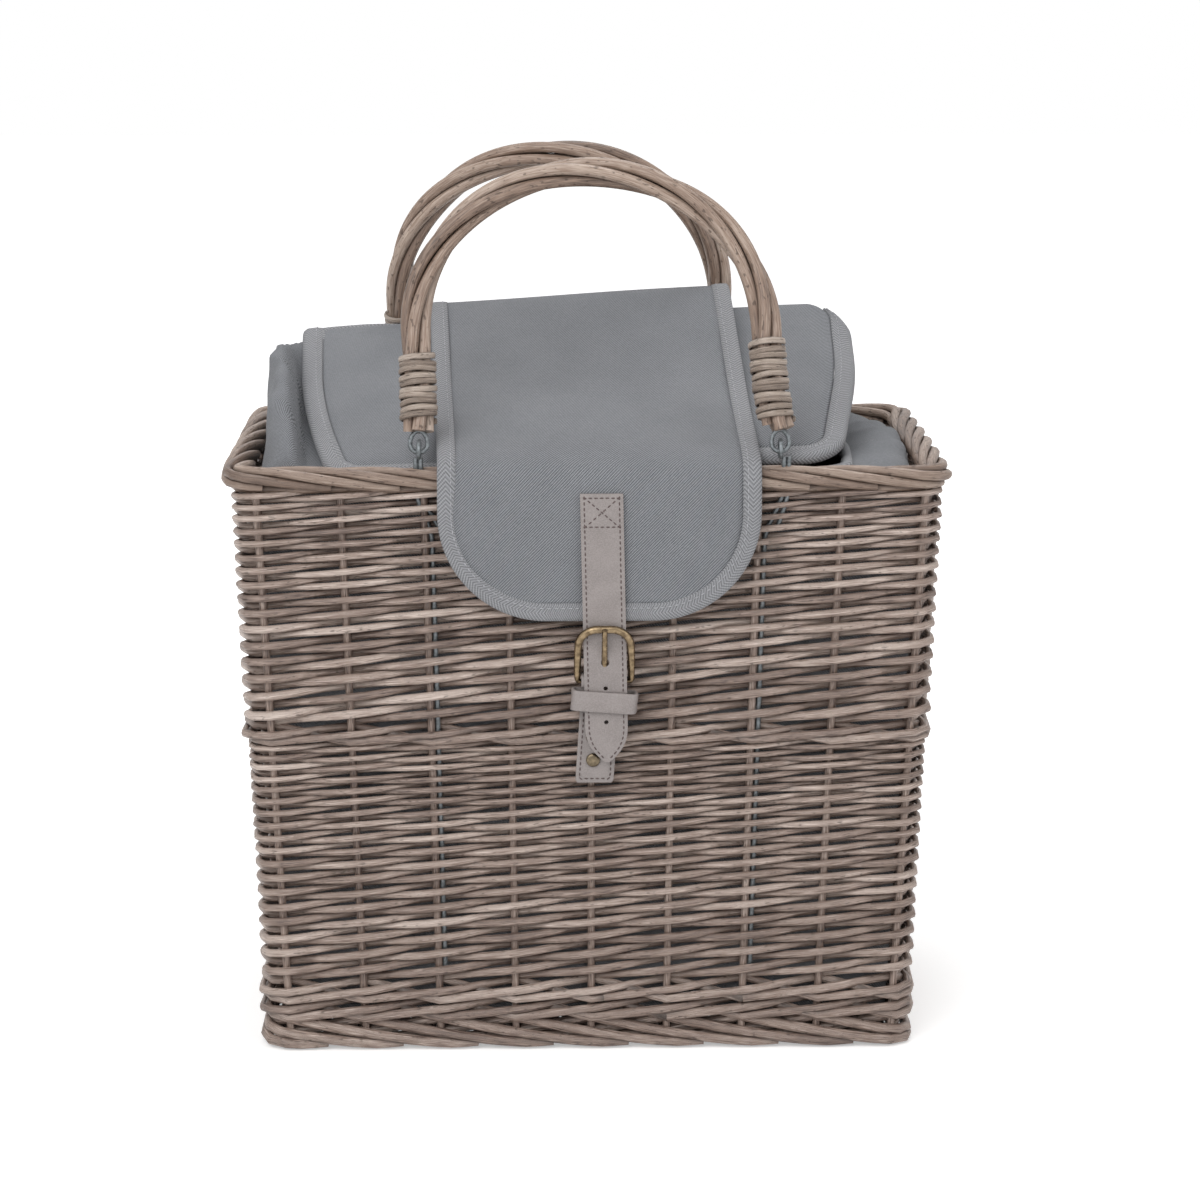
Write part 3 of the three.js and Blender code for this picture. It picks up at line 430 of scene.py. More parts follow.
def woven_band(name, z_low, z_high, row_low, row_high, seed):
    """A band of weavers between two heights, whose rows change from one pitch to another."""
    chance = random.Random(seed)
    heights = [z_low]
    while heights[-1] < z_high or len(heights) % 2 == 0:
        share = (heights[-1] - z_low) / (z_high - z_low)
        heights.append(heights[-1] + row_low + (row_high - row_low) * min(share, 1))
    stretch = (z_high - z_low) / (heights[-1] - z_low)
    heights = [z_low + (z - z_low) * stretch for z in heights]
    rods = []
    for first in range(STAKES):
        stout = chance.uniform(0.94, 1.07)
        lean = [chance.uniform(0, 2 * math.pi) for _ in range(3)]
        path = []
        for step in range((len(heights) - 1) * ROW_STEPS + 1):
            gone = step / ROW_STEPS
            row = min(int(gone), len(heights) - 2)
            pitch = heights[row + 1] - heights[row]
            early = 0.2 * pitch * (1 - abs(gone % 2 - 1))
            z = heights[row] + pitch * (gone - row) + early
            radius = (0.4 * MM + 0.37 * pitch) * stout * (1 + 0.05 * math.cos(2 * math.pi * gone))
            z += 0.35 * MM * (math.sin(0.9 * gone + lean[0]) + 0.8 * math.sin(2.3 * gone + lean[1]))
            reach = (STAKE_RADIUS + radius) * (0.97 + 0.05 * math.sin(1.7 * gone + lean[2]))
            path.append((wall_point(first + gone, z, -reach * math.cos(math.pi * gone)), radius))
        rods.append((path, chance.uniform(0, 1), False))
    return rods_piece(name, rods, 8, willow)


lower_band = woven_band("lower_band", 36 * MM, 158 * MM, 4.6 * MM, 2.6 * MM, 21)
upper_band = woven_band("upper_band", 167.4 * MM, 283.5 * MM, 4.7 * MM, 2.7 * MM, 22)
for band, level in ((lower_band, "lower"), (upper_band, "upper")):
    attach(band, "basket")
    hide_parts(*(f"{level}_wall_{side}" for side in SIDES))


# Wales: rounds of three thicker rods, each in front of two stakes and behind one, which lock the weave.
# One round divides the two bands, and two rounds close the foot.
WALE_MARKS = ((1, -0.5), (1, 0.0), (-1, 0.5))
WALE_LEAST = 40


def eased(share):
    """A share from 0 to 1 that starts and stops gently."""
    return share * share * (3 - 2 * share)


def wale_rods(z_middle, spread, radius, shift, chance):
    """Three strands that wind round the stakes, as one line cut into six rods."""
    path = []
    for step in range(3 * STAKES * ROW_STEPS):
        gone = step / ROW_STEPS
        at = int(gone)
        (out_a, up_a), (out_b, up_b) = WALE_MARKS[at % 3], WALE_MARKS[(at + 1) % 3]
        out = (out_a + (out_b - out_a) * eased(gone - at)) * (STAKE_RADIUS + radius)
        z = z_middle + (up_a + (up_b - up_a) * (gone - at)) * spread + 0.3 * MM * math.sin(1.3 * gone)
        path.append((wall_point(gone + shift, z, out), radius * (1 + 0.07 * math.sin(0.37 * gone + shift))))
    cuts = [0, *sorted(chance.sample(range(WALE_LEAST, len(path) - WALE_LEAST), 5)), len(path)]
    return [(path[start:stop] + [path[stop % len(path)]], chance.uniform(0.1, 1), False)
            for start, stop in zip(cuts, cuts[1:])]


wale_chance = random.Random(31)
mid_wale = rods_piece("mid_wale_rods", wale_rods(162.5 * MM, 6.6 * MM, 2.0 * MM, 0, wale_chance), 8, willow)
foot_wale_rods = wale_rods(20.8 * MM, 8.4 * MM, 2.3 * MM, 1, wale_chance)
foot_wale_rods += wale_rods(30.2 * MM, 8.4 * MM, 2.2 * MM, 2, wale_chance)
bottom_wale = rods_piece("bottom_wale_rods", foot_wale_rods, 8, willow)
for wale, node in ((mid_wale, "mid_wale"), (bottom_wale, "bottom_wale")):
    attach(wale, "basket")
    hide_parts(node)


# Rim border: about five rods to every four stakes are bent down in turn, over the top from inside to
# outside. Each runs on for three or four stakes and is cut off under the border. They are a warmer brown
# than the walls.
RIM_REACH = 3.4
RIM_RODS = 32
RIM_STEPS = 28
rim_willow = willow_finish("warm_willow", (0.076, 0.047, 0.034), (0.234, 0.163, 0.125), (0.49, 0.39, 0.322),
                           0.35, 1.2)
rim_chance = random.Random(41)
rim_rods = []
for i in range(RIM_RODS):
    stout = rim_chance.uniform(0.93, 1.06)
    path = []
    for step in range(RIM_STEPS + 1):
        share = step / RIM_STEPS
        angle = math.radians(232 - 300 * share)
        out = 0.3 * MM + 4.7 * MM * math.cos(angle)
        z = 289.3 * MM + 3.7 * MM * math.sin(angle) + 0.3 * MM * math.sin(5 * share + i)
        at = wall_point(i * STAKES / RIM_RODS + RIM_REACH * share, z, out)
        path.append((at, 2.75 * MM * stout * (1 - 0.16 * share)))
    rim_rods.append((path, rim_chance.uniform(0, 1), False))
for z, out, radius, shade in ((289, 0.3, 3.6, 0.1), (284.6, 0, 2.4, 0.3)):
    path = [(wall_point(k / 4, z * MM, out * MM), radius * MM) for k in range(4 * STAKES)]
    rim_rods.append((path, shade, True))
rim_border = rods_piece("rim_border_rods", rim_rods, 9, rim_willow)
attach(rim_border, "basket")
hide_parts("rim_border")


# Foot border: slanting rods that come down from behind the wale and end in a cut tip at the floor,
# over an inner layer that slants the other way. The basket stands on them.
FOOT_STEPS = 14
FOOT_TIP = 0.86
foot_chance = random.Random(51)
foot_rods = []
for i in range(STAKES):
    stout = foot_chance.uniform(0.94, 1.06)
    for span, z_from, z_to, out_from, out_to in ((2.5, 15.6, 2.9, 0.4, 4.6), (-2.3, 15, 3.0, -1.5, -4.4)):
        path = []
        for step in range(FOOT_STEPS + 1):
            share = step / FOOT_STEPS
            fall = math.sin(share * math.pi / 2)
            at = wall_point(i + span * share, (z_from + (z_to - z_from) * fall) * MM,
                            (out_from + (out_to - out_from) * fall) * MM)
            thin = 1 - 0.1 * share - 0.45 * max(0.0, share - FOOT_TIP) / (1 - FOOT_TIP)
            path.append((at, 2.75 * MM * stout * thin))
        foot_rods.append((path, foot_chance.uniform(0, 0.55), False))
foot_border = rods_piece("foot_border_rods", foot_rods, 8, willow)
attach(foot_border, "basket")
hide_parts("foot_border")


# Base: seven stout willow sticks lie lengthwise, and thin weavers cross them, over one and under the next.
# It closes the basket just above the floor and carries the bag.
BASE_Z = 6 * MM
BASE_PITCH = 22.5 * MM
BASE_WEAVERS = 68
base_chance = random.Random(61)
base_rods = []
for i in range(7):
    path = [(Vector((x * MM, (i - 3) * BASE_PITCH, BASE_Z)), 2.2 * MM) for x in range(-150, 151, 20)]
    base_rods.append((path, base_chance.uniform(0, 0.7), False))
for i in range(BASE_WEAVERS):
    x = (i - (BASE_WEAVERS - 1) / 2) * 4.45 * MM
    path = []
    for step in range(-14, 15):
        z = BASE_Z + (1 if i % 2 else -1) * 3.9 * MM * math.cos(math.pi * step / 4)
        at = Vector((x + 0.3 * MM * math.sin(step + i), step / 4 * BASE_PITCH * 0.985, z))
        path.append((at, 1.9 * MM))
    base_rods.append((path, base_chance.uniform(0, 1), False))
base_weave = rods_piece("base_weave", base_rods, 6, willow)
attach(base_weave, "basket")
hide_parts("base_panel")


# Cooler bag shell: grey twill sewn into a soft box that fills the basket. It shows through the weave.
# Its left side swells above the rim and turns in under the lid, and its right side has sunk in below the rim.
def grid_piece(name, rows, finish, around=False, capped=False):
    """A mesh through rows of (point, across, along, shade), closed sideways or capped at its ends."""
    mesh = bpy.data.meshes.new(name)
    wide = len(rows[0])
    flat = [entry for row in rows for entry in row]
    faces = []
    for i in range(len(rows) - 1):
        for j in range(wide if around else wide - 1):
            a, b = i * wide + j, i * wide + (j + 1) % wide
            faces.append((a, b, b + wide, a + wide))
    if capped:
        faces.append(tuple(reversed(range(wide))))
        faces.append(tuple(range((len(rows) - 1) * wide, len(rows) * wide)))
    mesh.from_pydata([entry[0] for entry in flat], [], faces)
    for label, place in (("across", 1), ("along", 2), ("shade", 3)):
        set_values(mesh, label, [entry[place] for entry in flat])
    mesh.materials.append(finish)
    mesh.shade_smooth()
    return placed(name, mesh)


def finished(piece, kind, **settings):
    """Applies one modifier to the piece's mesh."""
    modifier = piece.modifiers.new(kind.lower(), kind)
    for label, value in settings.items():
        setattr(modifier, label, value)
    mesh = applied_mesh(piece)
    piece.modifiers.clear()
    piece.data = mesh


# Weave effect: a height from crossing threads, slanting as twill or turning back as herringbone.
HERRINGBONE_WIDE = 0.0042
weave, weave_in, weave_out, _ = new_tree(
    "cloth_weave", "ShaderNodeTree", {"Pitch": "Float", "Herringbone": "Float"},
    {"Threads": "Float", "Mottle": "Float"})
weave_u = attribute(weave, "across")
weave_v = attribute(weave, "along")


def weave_wave(place, turns):
    """A wave from -1 to 1 that turns so many times in a thread's pitch."""
    in_pitch = maths(weave, "DIVIDE", place, weave_in["Pitch"])
    return maths(weave, "SINE", maths(weave, "MULTIPLY", in_pitch, turns * 2 * math.pi))


weave_fold = maths(weave, "PINGPONG", weave_u, HERRINGBONE_WIDE)
weave_side = mixed(weave, weave_in["Herringbone"], weave_u, weave_fold)
weave_slant = weave_wave(maths(weave, "ADD", weave_side, weave_v), 1)
weave_breaks = weave_wave(maths(weave, "SUBTRACT", weave_u, weave_v), 1.5)
weave_place = object_place(weave)
weave_specks, weave_clouds = (noise(weave, weave_place, scale, 2.0) for scale in (900.0, 30.0))
fill_inputs(weave_out, {
    "Threads": maths(weave, "ADD", weighed(weave, weave_slant, 0.34, weave_breaks, 0.16), 0.5),
    "Mottle": weighed(weave, weave_specks, 0.6, weave_clouds, 0.4)})


def cloth_finish(name, dark, pale, pitch, herringbone, relief):
    """Woven cloth: dark between the threads and pale on them, with a slight mottle and a soft sheen."""
    finish, tree, coat = new_finish(name)
    cloth = add_node(tree, "ShaderNodeGroup", {"Pitch": pitch, "Herringbone": herringbone}, node_tree=weave)
    threads = cloth.outputs["Threads"]
    share = weighed(tree, threads, 0.65, cloth.outputs["Mottle"], 0.35)
    fill_inputs(coat, {"Base Color": ramp(tree, share, [(0.15, dark), (0.85, pale)]),
                       "Roughness": maths(tree, "SUBTRACT", 0.98, maths(tree, "MULTIPLY", threads, 0.16)),
                       "Normal": bumped(tree, threads, relief, 0.0003),
                       "Sheen Weight": 0.08, "Specular IOR Level": 0.25})
    return finish


twill = cloth_finish("grey_twill", (0.074, 0.08, 0.09), (0.363, 0.371, 0.392), 1.5 * MM, 0.0, 0.8)
tape = cloth_finish("herringbone_tape", (0.145, 0.146, 0.156), (0.4, 0.405, 0.422), 2.0 * MM, 1.0, 0.8)
lining = cloth_finish("dark_lining", (0.11, 0.11, 0.113), (0.2, 0.2, 0.205), 2.0 * MM, 0.0, 0.3)

BAG_OUT = -8.6 * MM
BAG_RISE = 280 * MM
BAG_UPPER = 60 * MM
BAG_ROWS = 22
BAG_STEPS = STAKES * 8
LID_REAR_Y = 60 * MM
LID_SLOPE = 0.349
BAG_MOUTH = (
    (0, (2, -88, 290)), (2, (81, -88, 290)), (3.5, (123, -87, 291)), (4.2, (129, -75, 293)),
    (5.2, (131, -45, 293)), (6.5, (131, 0, 293)), (7.8, (131, 40, 293)), (8.6, (131, 58, 297)),
    (9.3, (127, 64, 309)), (10, (112, 64, 331)), (11, (81, 62, 341)), (13, (0, 62, 341)),
    (15, (-81, 62, 341)), (16.7, (-132, 62, 340)), (17.5, (-138, 52, 336)), (18.5, (-134, 22, 325)),
    (20, (-125, -33, 306)), (21.4, (-117, -74, 291)), (22.2, (-112, -86, 289)), (24, (-81, -88, 290)),
    (26, (2, -88, 290)),
)


def smooth_between(marks, i, share):
    """A point between marks i and i + 1, on a smooth curve through all the marks."""
    ends = [Vector(marks[max(0, min(k, len(marks) - 1))]) for k in (i - 1, i, i + 1, i + 2)]
    bend = (ends[2] - ends[0]) / 2, (ends[3] - ends[1]) / 2
    square, cube = share * share, share ** 3
    return (ends[1] * (2 * cube - 3 * square + 1) + bend[0] * (cube - 2 * square + share)
            + ends[2] * (3 * square - 2 * cube) + bend[1] * (cube - square))


def mouth_point(stakes):
    """Point of the bag's mouth, so many stakes round."""
    i = max(k for k in range(len(BAG_MOUTH) - 1) if BAG_MOUTH[k][0] <= stakes)
    low, high = BAG_MOUTH[i][0], BAG_MOUTH[i + 1][0]
    return smooth_between([mark for place, mark in BAG_MOUTH], i, (stakes - low) / (high - low)) * MM


def hump(place, middle, half):
    """1 at the middle of a stretch, falling to 0 at its ends."""
    return max(0.0, 1 - ((place - middle) / half) ** 2)


def bag_side(t, share):
    """Point of the bag's upper side: stakes round, and the share of the way from the rim to the mouth."""
    low, high = wall_point(t, BAG_RISE, BAG_OUT), mouth_point(t)
    side, sunk = hump(t, 19.5, 2.8), hump(t, 6.4, 2.7)
    shoulder = (low + high) / 2 + Vector((22 * sunk - 15 * side, 0, 17 * sunk + 58 * side)) * MM
    pull = 2 * (1 + 0.9 * side) * share * (1 - share)
    at = low * (1 - share) ** 2 + shoulder * pull + high * share ** 2
    at /= (1 - share) ** 2 + pull + share ** 2
    out = (wall_point(t, BAG_RISE, 0) - wall_point(t, BAG_RISE, -10 * MM)).normalized()
    fold = 1.9 * math.sin(4.6 * t + 3 * share) + 1.5 * math.sin(11 * share + 1.7 * t)
    fold = side * (fold + 1.1 * math.sin(9.7 * t - 7 * share)) + 0.5 * math.sin(2.1 * t)
    middle = math.sin(math.pi * share)
    at.z += 1.6 * MM * sunk * math.sin(6.5 * t + 4 * share) * middle
    at += out * (fold * middle) * MM
    if at.x < 0:
        drop = LID_REAR_Y - at.y
        under = max(0.0, min(1.0, (at.x + 157 * MM - 0.09 * drop) / (8 * MM)))
        at.z -= under * under * max(0.0, at.z - (336 * MM - LID_SLOPE * drop))
    return at


bag_turns = [STAKES * j / BAG_STEPS for j in range(BAG_STEPS)]
bag_rows = []
for z, inset in ((13, 3), *((z, 0) for z in (14.5, 20, 50, 90, 130, 170, 210, 250, 275))):
    bag_rows.append([(wall_point(t, z * MM, BAG_OUT - inset * MM), t * STAKE_PITCH, z * MM, 0.5)
                     for t in bag_turns])
for step in range(1, BAG_ROWS + 1):
    share = step / BAG_ROWS
    bag_rows.append([(bag_side(t, share), t * STAKE_PITCH, BAG_RISE + BAG_UPPER * share, 0.5)
                     for t in bag_turns])
bag_shell = grid_piece("bag_shell", bag_rows, twill, around=True)
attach(bag_shell, "basket")
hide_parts("cooler_shell", *(f"foam_{side}" for side in ("base", *SIDES)))


# Bag hem: the shell and the lining are turned in and sewn round the mouth into a thick soft edge.
# It is bound in the same herringbone tape as the lid.
def mouth_inward(at):
    """Level direction from a point of the mouth towards the bag's middle."""
    return Vector((-at.x, -at.y * 1.6, 0)).normalized()


hem_path = []
for t in bag_turns:
    at = mouth_point(t)
    at += mouth_inward(at) * 3.2 * MM - Vector((0, 0, 0.6 * MM))
    hem_path.append((at, (3.1 + 0.35 * math.sin(3.7 * t)) * MM))
bag_hem = rods_piece("bag_hem", [(hem_path, 0.5, True)], 10, tape)
set_values(bag_hem.data, "across", [0.02 * share for share in get_values(bag_hem.data, "around")])
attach(bag_hem, "basket")


# Lining: dark coated cloth inside the bag, sewn to the hem and flat on the bag's floor.
# A strip of it shows beside the lid's right edge.
LINING_OUT = -15.4 * MM
LINING_TOP = 262 * MM
LINING_FLOOR = 20.5 * MM
LINING_ROWS = 12
lining_rows = []
for step in range(LINING_ROWS + 1):
    share = step / LINING_ROWS
    row = []
    for t in bag_turns:
        high, low = mouth_point(t), wall_point(t, LINING_TOP, LINING_OUT)
        high += mouth_inward(high) * 5.6 * MM
        slack = 1.2 * MM * math.sin(1.3 * t + 6 * share) * math.sin(math.pi * share)
        inward = Vector((-low.x, -low.y, 0)).normalized()
        row.append((high.lerp(low, share) + inward * slack, t * STAKE_PITCH, -BAG_UPPER * share, 0.5))
    lining_rows.append(row)
for z in (230 * MM, 180 * MM, 130 * MM, 80 * MM, 40 * MM, 24 * MM, LINING_FLOOR):
    lining_rows.append([(wall_point(t, z, LINING_OUT), t * STAKE_PITCH, z - LINING_TOP - BAG_UPPER, 0.5)
                        for t in bag_turns])
for share in (0.9, 0.6, 0.3):
    lining_rows.append([(Vector((at.x * share, at.y * share, LINING_FLOOR - 0.2 * MM)), at.x, at.y, 0.5)
                        for at in (wall_point(t, LINING_FLOOR, LINING_OUT) for t in bag_turns)])
bag_lining = grid_piece("bag_lining", lining_rows, lining, around=True)
lining_cap = bmesh.new()
lining_cap.from_mesh(bag_lining.data)
lining_cap.verts.ensure_lookup_table()
lining_cap.faces.new(lining_cap.verts[-BAG_STEPS:]).material_index = 0
bmesh.ops.triangulate(lining_cap, faces=[face for face in lining_cap.faces if len(face.verts) > 4])
lining_cap.to_mesh(bag_lining.data)
lining_cap.free()
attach(bag_lining, "basket")
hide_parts("cooler_lining")


# Lid: a padded twill panel that slopes from the bag's high rear edge down inside the front rim,
# with a herringbone tape sewn along its sides and its front.
LID_X = -4 * MM
LID_REAR = Vector((0, LID_REAR_Y, 342 * MM))
LID_ANGLE = math.atan2(52, 149)
LID_REACH = 156 * MM
LID_HALF = 144 * MM
LID_CORNERS = ((-141.5, 0, 3), (-137, 94, 450), (-119, 164, 22), (127, 158, 24), (141, 72, 400), (143, 0, 22))
LID_PIECES = (8, 6, 16, 8, 6, 16)
LID_ARC = 8
LID_WIDE_ARC = 75 * MM


def on_lid(x, down, height):
    """Point of the lid: sideways from its middle, down its slope from the rear edge, and up from the mouth.

    The soft lid is pushed up at the right, sags at the rear left and droops along both side edges.
    """
    rear = max(0.0, 1 - down / LID_REACH)
    push = 4.5 + 5 * rear if x > 0 else 5 * rear + 4 * (1 - rear) ** 3
    droop = 9 * max(0.0, (x - 112 * MM) / (31 * MM)) ** 2 * rear
    droop += 1.5 * max(0.0, (-x - 100 * MM) / (43 * MM)) ** 2
    lift = (push * x / LID_HALF - droop) * MM
    y = LID_REAR.y - down * math.cos(LID_ANGLE) - height * math.sin(LID_ANGLE)
    z = LID_REAR.z - down * math.sin(LID_ANGLE) + height * math.cos(LID_ANGLE) + lift
    return Vector((LID_X + x, y, z))


def lid_ring(inset, rear):
    """Points (x, down) round the lid from its rear left, moved in by inset, and by rear at its rear edge."""
    corners = [Vector((x, down)) * MM for x, down, radius in LID_CORNERS]
    ways = [(after - corner).normalized() for corner, after in zip(corners, corners[1:] + corners[:1])]
    inward = [Vector((way.y, -way.x)) for way in ways]
    shifts = [inset] * (len(corners) - 1) + [rear]
    arcs = []
    for i, corner in enumerate(corners):
        before, after = ways[i - 1], ways[i]
        start = corner + inward[i - 1] * shifts[i - 1]
        gap = corner + inward[i] * shifts[i] - start
        reach = (gap.x * after.y - gap.y * after.x) / (before.x * after.y - before.y * after.x)
        bend = math.acos(max(-1.0, min(1.0, before.dot(after))))
        wide = LID_CORNERS[i][2] * MM
        radius = max(wide - inset * max(1.0, wide / LID_WIDE_ARC), 1.5 * MM)
        begin = start + before * reach - before * radius * math.tan(bend / 2)
        middle = begin + inward[i - 1] * radius
        arm = begin - middle
        arcs.append([(middle.x + arm.x * math.cos(angle) + arm.y * math.sin(angle),
                      middle.y - arm.x * math.sin(angle) + arm.y * math.cos(angle))
                     for angle in (bend * k / LID_ARC for k in range(LID_ARC + 1))])
    ring = []
    for arc, following, pieces in zip(arcs, arcs[1:] + arcs[:1], LID_PIECES):
        (x_a, down_a), (x_b, down_b) = arc[-1], following[0]
        ring += arc
        ring += [(x_a + (x_b - x_a) * k / pieces, down_a + (down_b - down_a) * k / pieces)
                 for k in range(1, pieces)]
    return ring


def lid_tape_line(inset):
    """Points (x, down) along the lid's sides and its front, moved in from its edge."""
    return lid_ring(inset, 0)[4:-3 - LID_PIECES[-1]]


def lid_dent(x, down):
    """Slack of the lid's cloth: it sags a little between its middle and its edges."""
    return (0.7 * math.sin(26 * x + 1) * math.cos(31 * down) + 0.5 * math.sin(55 * x - 20 * down)) * MM


def welded(piece):
    """Joins double points and turns the faces of a closed piece outwards."""
    work = bmesh.new()
    work.from_mesh(piece.data)
    bmesh.ops.remove_doubles(work, verts=work.verts, dist=0.00001)
    bmesh.ops.recalc_face_normals(work, faces=work.faces)
    work.to_mesh(piece.data)
    work.free()
    piece.data.shade_smooth()
    return piece


LID_CLOTH = ((10.7, 0.5, 0.8), (10.7, 4.4, 0), (12, 5.3, 0.3), (15, 5.9, 1.6), (22, 6.4, 5), (36, 6.8, 14),
             (54, 7, 30), (70, 7, 50))
lid_rows = []
for inset, height, rear in LID_CLOTH:
    lid_rows.append([(on_lid(x, down, height * MM + (lid_dent(x, down) if inset > 11 else 0)), x, down, 0.5)
                     for x, down in lid_ring(inset * MM, rear * MM)])
lid_panel = welded(grid_piece("lid_cloth", lid_rows, twill, around=True, capped=True))
LID_TAPE = ((10.5, 0.5), (1.6, 0.3), (0.3, 1.4), (0, 3.2), (0.5, 5), (2.2, 6), (6.5, 6.3), (9.9, 5.8),
            (10.6, 4.9))
binding_lines = [lid_tape_line(inset * MM) for inset, height in LID_TAPE]
binding_gone = distances([Vector(spot) for spot in lid_tape_line(0)])
binding_rows = []
for gone, spots in zip(binding_gone, zip(*binding_lines)):
    row = []
    for (inset, height), (x, down) in zip(LID_TAPE, spots):
        at = on_lid(x, down, height * MM + 0.3 * MM * math.sin(70 * x + 50 * down))
        row.append((at, (inset + height) * MM, gone, 0.5))
    binding_rows.append(row)
lid_binding = welded(grid_piece("lid_tape", binding_rows, tape, around=True, capped=True))
for piece, node, slot_name in ((lid_panel, "lid_panel", "fabric"), (lid_binding, "lid_binding", "tape")):
    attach(piece, "lid")
    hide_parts(node)


# Lid hinge: a strip of the same twill, sewn to the bag's back and to the lid's rear edge.
HINGE_ROWS = 6
HINGE_STEPS = 52
hinge_rows = []
for k in range(HINGE_ROWS + 1):
    share = k / HINGE_ROWS
    row = []
    for j in range(HINGE_STEPS + 1):
        x = (-138 + 246 * j / HINGE_STEPS) * MM
        foot = Vector((LID_X + x, 63.4 * MM, 334 * MM))
        edge = on_lid(x, 2.5 * MM, 2.6 * MM)
        top = Vector((foot.x, 62.6 * MM, edge.z - 1 * MM))
        at = foot * (1 - share) ** 2 + top * (2 * share * (1 - share)) + edge * share ** 2
        row.append((at, x, 14 * MM * share, 0.5))
    hinge_rows.append(row)
lid_hinge = grid_piece("lid_hinge", hinge_rows, twill)
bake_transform(lid_hinge)


# Flap: two plies of twill, sewn on behind the lid's rear edge. It runs down over the lid, folds over the
# front rim and hangs to a round end. A herringbone tape is sewn along both sides and round the end.
FLAP_X = 5.7 * MM
FLAP_HALF = 77.5 * MM
FLAP_CORNER = 52 * MM
FLAP_THICK = 2.6 * MM
FLAP_ROWS = 84
FLAP_COLUMNS = 26
FLAP_ON_LID = ((-2, 1), (-3.6, 6), (-1.5, 11), (5, 13.2), (16, 13.6), (40, 12.4), (75, 10.8), (108, 10.2))
FLAP_IN_FRONT = ((-70, 308.8), (-86, 304.2), (-98, 299.6), (-104.7, 295.2), (-107.3, 287.5), (-107.7, 276),
                 (-107.3, 256), (-107.2, 240), (-107.4, 221.5))
TAPE_WIDE = 9.2 * MM
TAPE_LAP = 1.5 * MM
TAPE_STEP = 3.9 * MM
TAPE_SECTION = ((9.1, 0), (9, 1.6), (7, 1.95), (3, 2.05), (1, 1.8), (0.2, 1.0), (0, 0), (0.2, -1.0),
                (1, -1.75), (4, -1.9), (9, -1.5))
MARK_STEPS = 8
flap_marks = [on_lid(0, down * MM, height * MM).yz for down, height in FLAP_ON_LID]
flap_marks += [Vector((y * MM, z * MM)) for y, z in FLAP_IN_FRONT]
flap_line = [smooth_between(flap_marks, i, step / MARK_STEPS)
             for i in range(len(flap_marks) - 1) for step in range(MARK_STEPS)]
flap_line.append(flap_marks[-1])
flap_gone = distances(flap_line)
FLAP_LENGTH = flap_gone[-1]


def on_flap(x, down, up):
    """Point of the flap: sideways from its middle, down from its rear seam, and up from its middle ply."""
    down = max(0.0, min(down, FLAP_LENGTH))
    last = len(flap_line) - 1
    i = min(max(k for k, gone in enumerate(flap_gone) if gone <= down), last - 1)
    share = (down - flap_gone[i]) / (flap_gone[i + 1] - flap_gone[i])
    along_a = (flap_line[i + 1] - flap_line[max(i - 1, 0)]).normalized()
    along_b = (flap_line[min(i + 2, last)] - flap_line[i]).normalized()
    along = along_a.lerp(along_b, share).normalized()
    at = flap_line[i].lerp(flap_line[i + 1], share) + Vector((along.y, -along.x)) * up
    skew = -8 * MM * max(0.0, 1 - down / (0.7 * FLAP_LENGTH))
    right = 0.5 + 0.5 * x / FLAP_HALF
    lift = right * (8 * max(0.0, 1 - down / (150 * MM)) + 2.5 * max(0.0, 1 - down / (190 * MM))) * MM
    return Vector((FLAP_X + x + skew, at.x, at.y + lift))


def flap_half(down, inset):
    """Half the flap's width at a distance down its length, moved in from its edge."""
    past = down - (FLAP_LENGTH - FLAP_CORNER)
    radius = FLAP_CORNER - inset
    if past <= 0:
        return FLAP_HALF - inset
    return FLAP_HALF - FLAP_CORNER + math.sqrt(max(radius * radius - past * past, 0))


flap_rows = []
for i in range(FLAP_ROWS + 1):
    down = (FLAP_LENGTH - TAPE_WIDE + TAPE_LAP) * i / FLAP_ROWS
    half = flap_half(down, TAPE_WIDE - TAPE_LAP)
    row = []
    for j in range(FLAP_COLUMNS + 1):
        x = half * (2 * j / FLAP_COLUMNS - 1)
        slack = 0.35 * MM * math.sin(38 * x + 17 * down) + 0.3 * MM * math.sin(60 * down - 21 * x)
        row.append((on_flap(x, down, slack), x, down, 0.5))
    flap_rows.append(row)
flap_cloth = grid_piece("flap_cloth", flap_rows, twill)
finished(flap_cloth, "SOLIDIFY", thickness=FLAP_THICK, offset=0)


def flap_outline(inset):
    """Points (x, down) along the flap's edge, from the rear left, round the end and to the rear right."""
    straight = FLAP_LENGTH - FLAP_CORNER
    steps = int(straight / (4 * MM))
    middle = FLAP_CORNER - FLAP_HALF
    radius = FLAP_CORNER - inset
    half = [(inset - FLAP_HALF, straight * k / steps) for k in range(steps)]
    for k in range(25):
        angle = math.radians(180 + 90 * k / 24)
        half.append((middle + radius * math.cos(angle), straight - radius * math.sin(angle)))
    half += [(middle * (1 - k / 12), FLAP_LENGTH - inset) for k in range(1, 13)]
    return half + [(-x, down) for x, down in reversed(half[:-1])]


tape_rows = []
for k, spots in enumerate(zip(*(flap_outline(inset * MM) for inset, up in TAPE_SECTION))):
    tape_rows.append([(on_flap(x, down, up * MM), (inset if up >= 0 else -inset) * MM, k * TAPE_STEP, 0.5)
                      for (inset, up), (x, down) in zip(TAPE_SECTION, spots)])
flap_tape = welded(grid_piece("flap_tape", tape_rows, tape, around=True, capped=True))
welded(flap_cloth)
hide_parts("flap_top", "flap_front")
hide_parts("flap_tape_left", "flap_tape_right", "flap_front_tape")
for piece in (flap_cloth, flap_tape):
    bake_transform(piece)


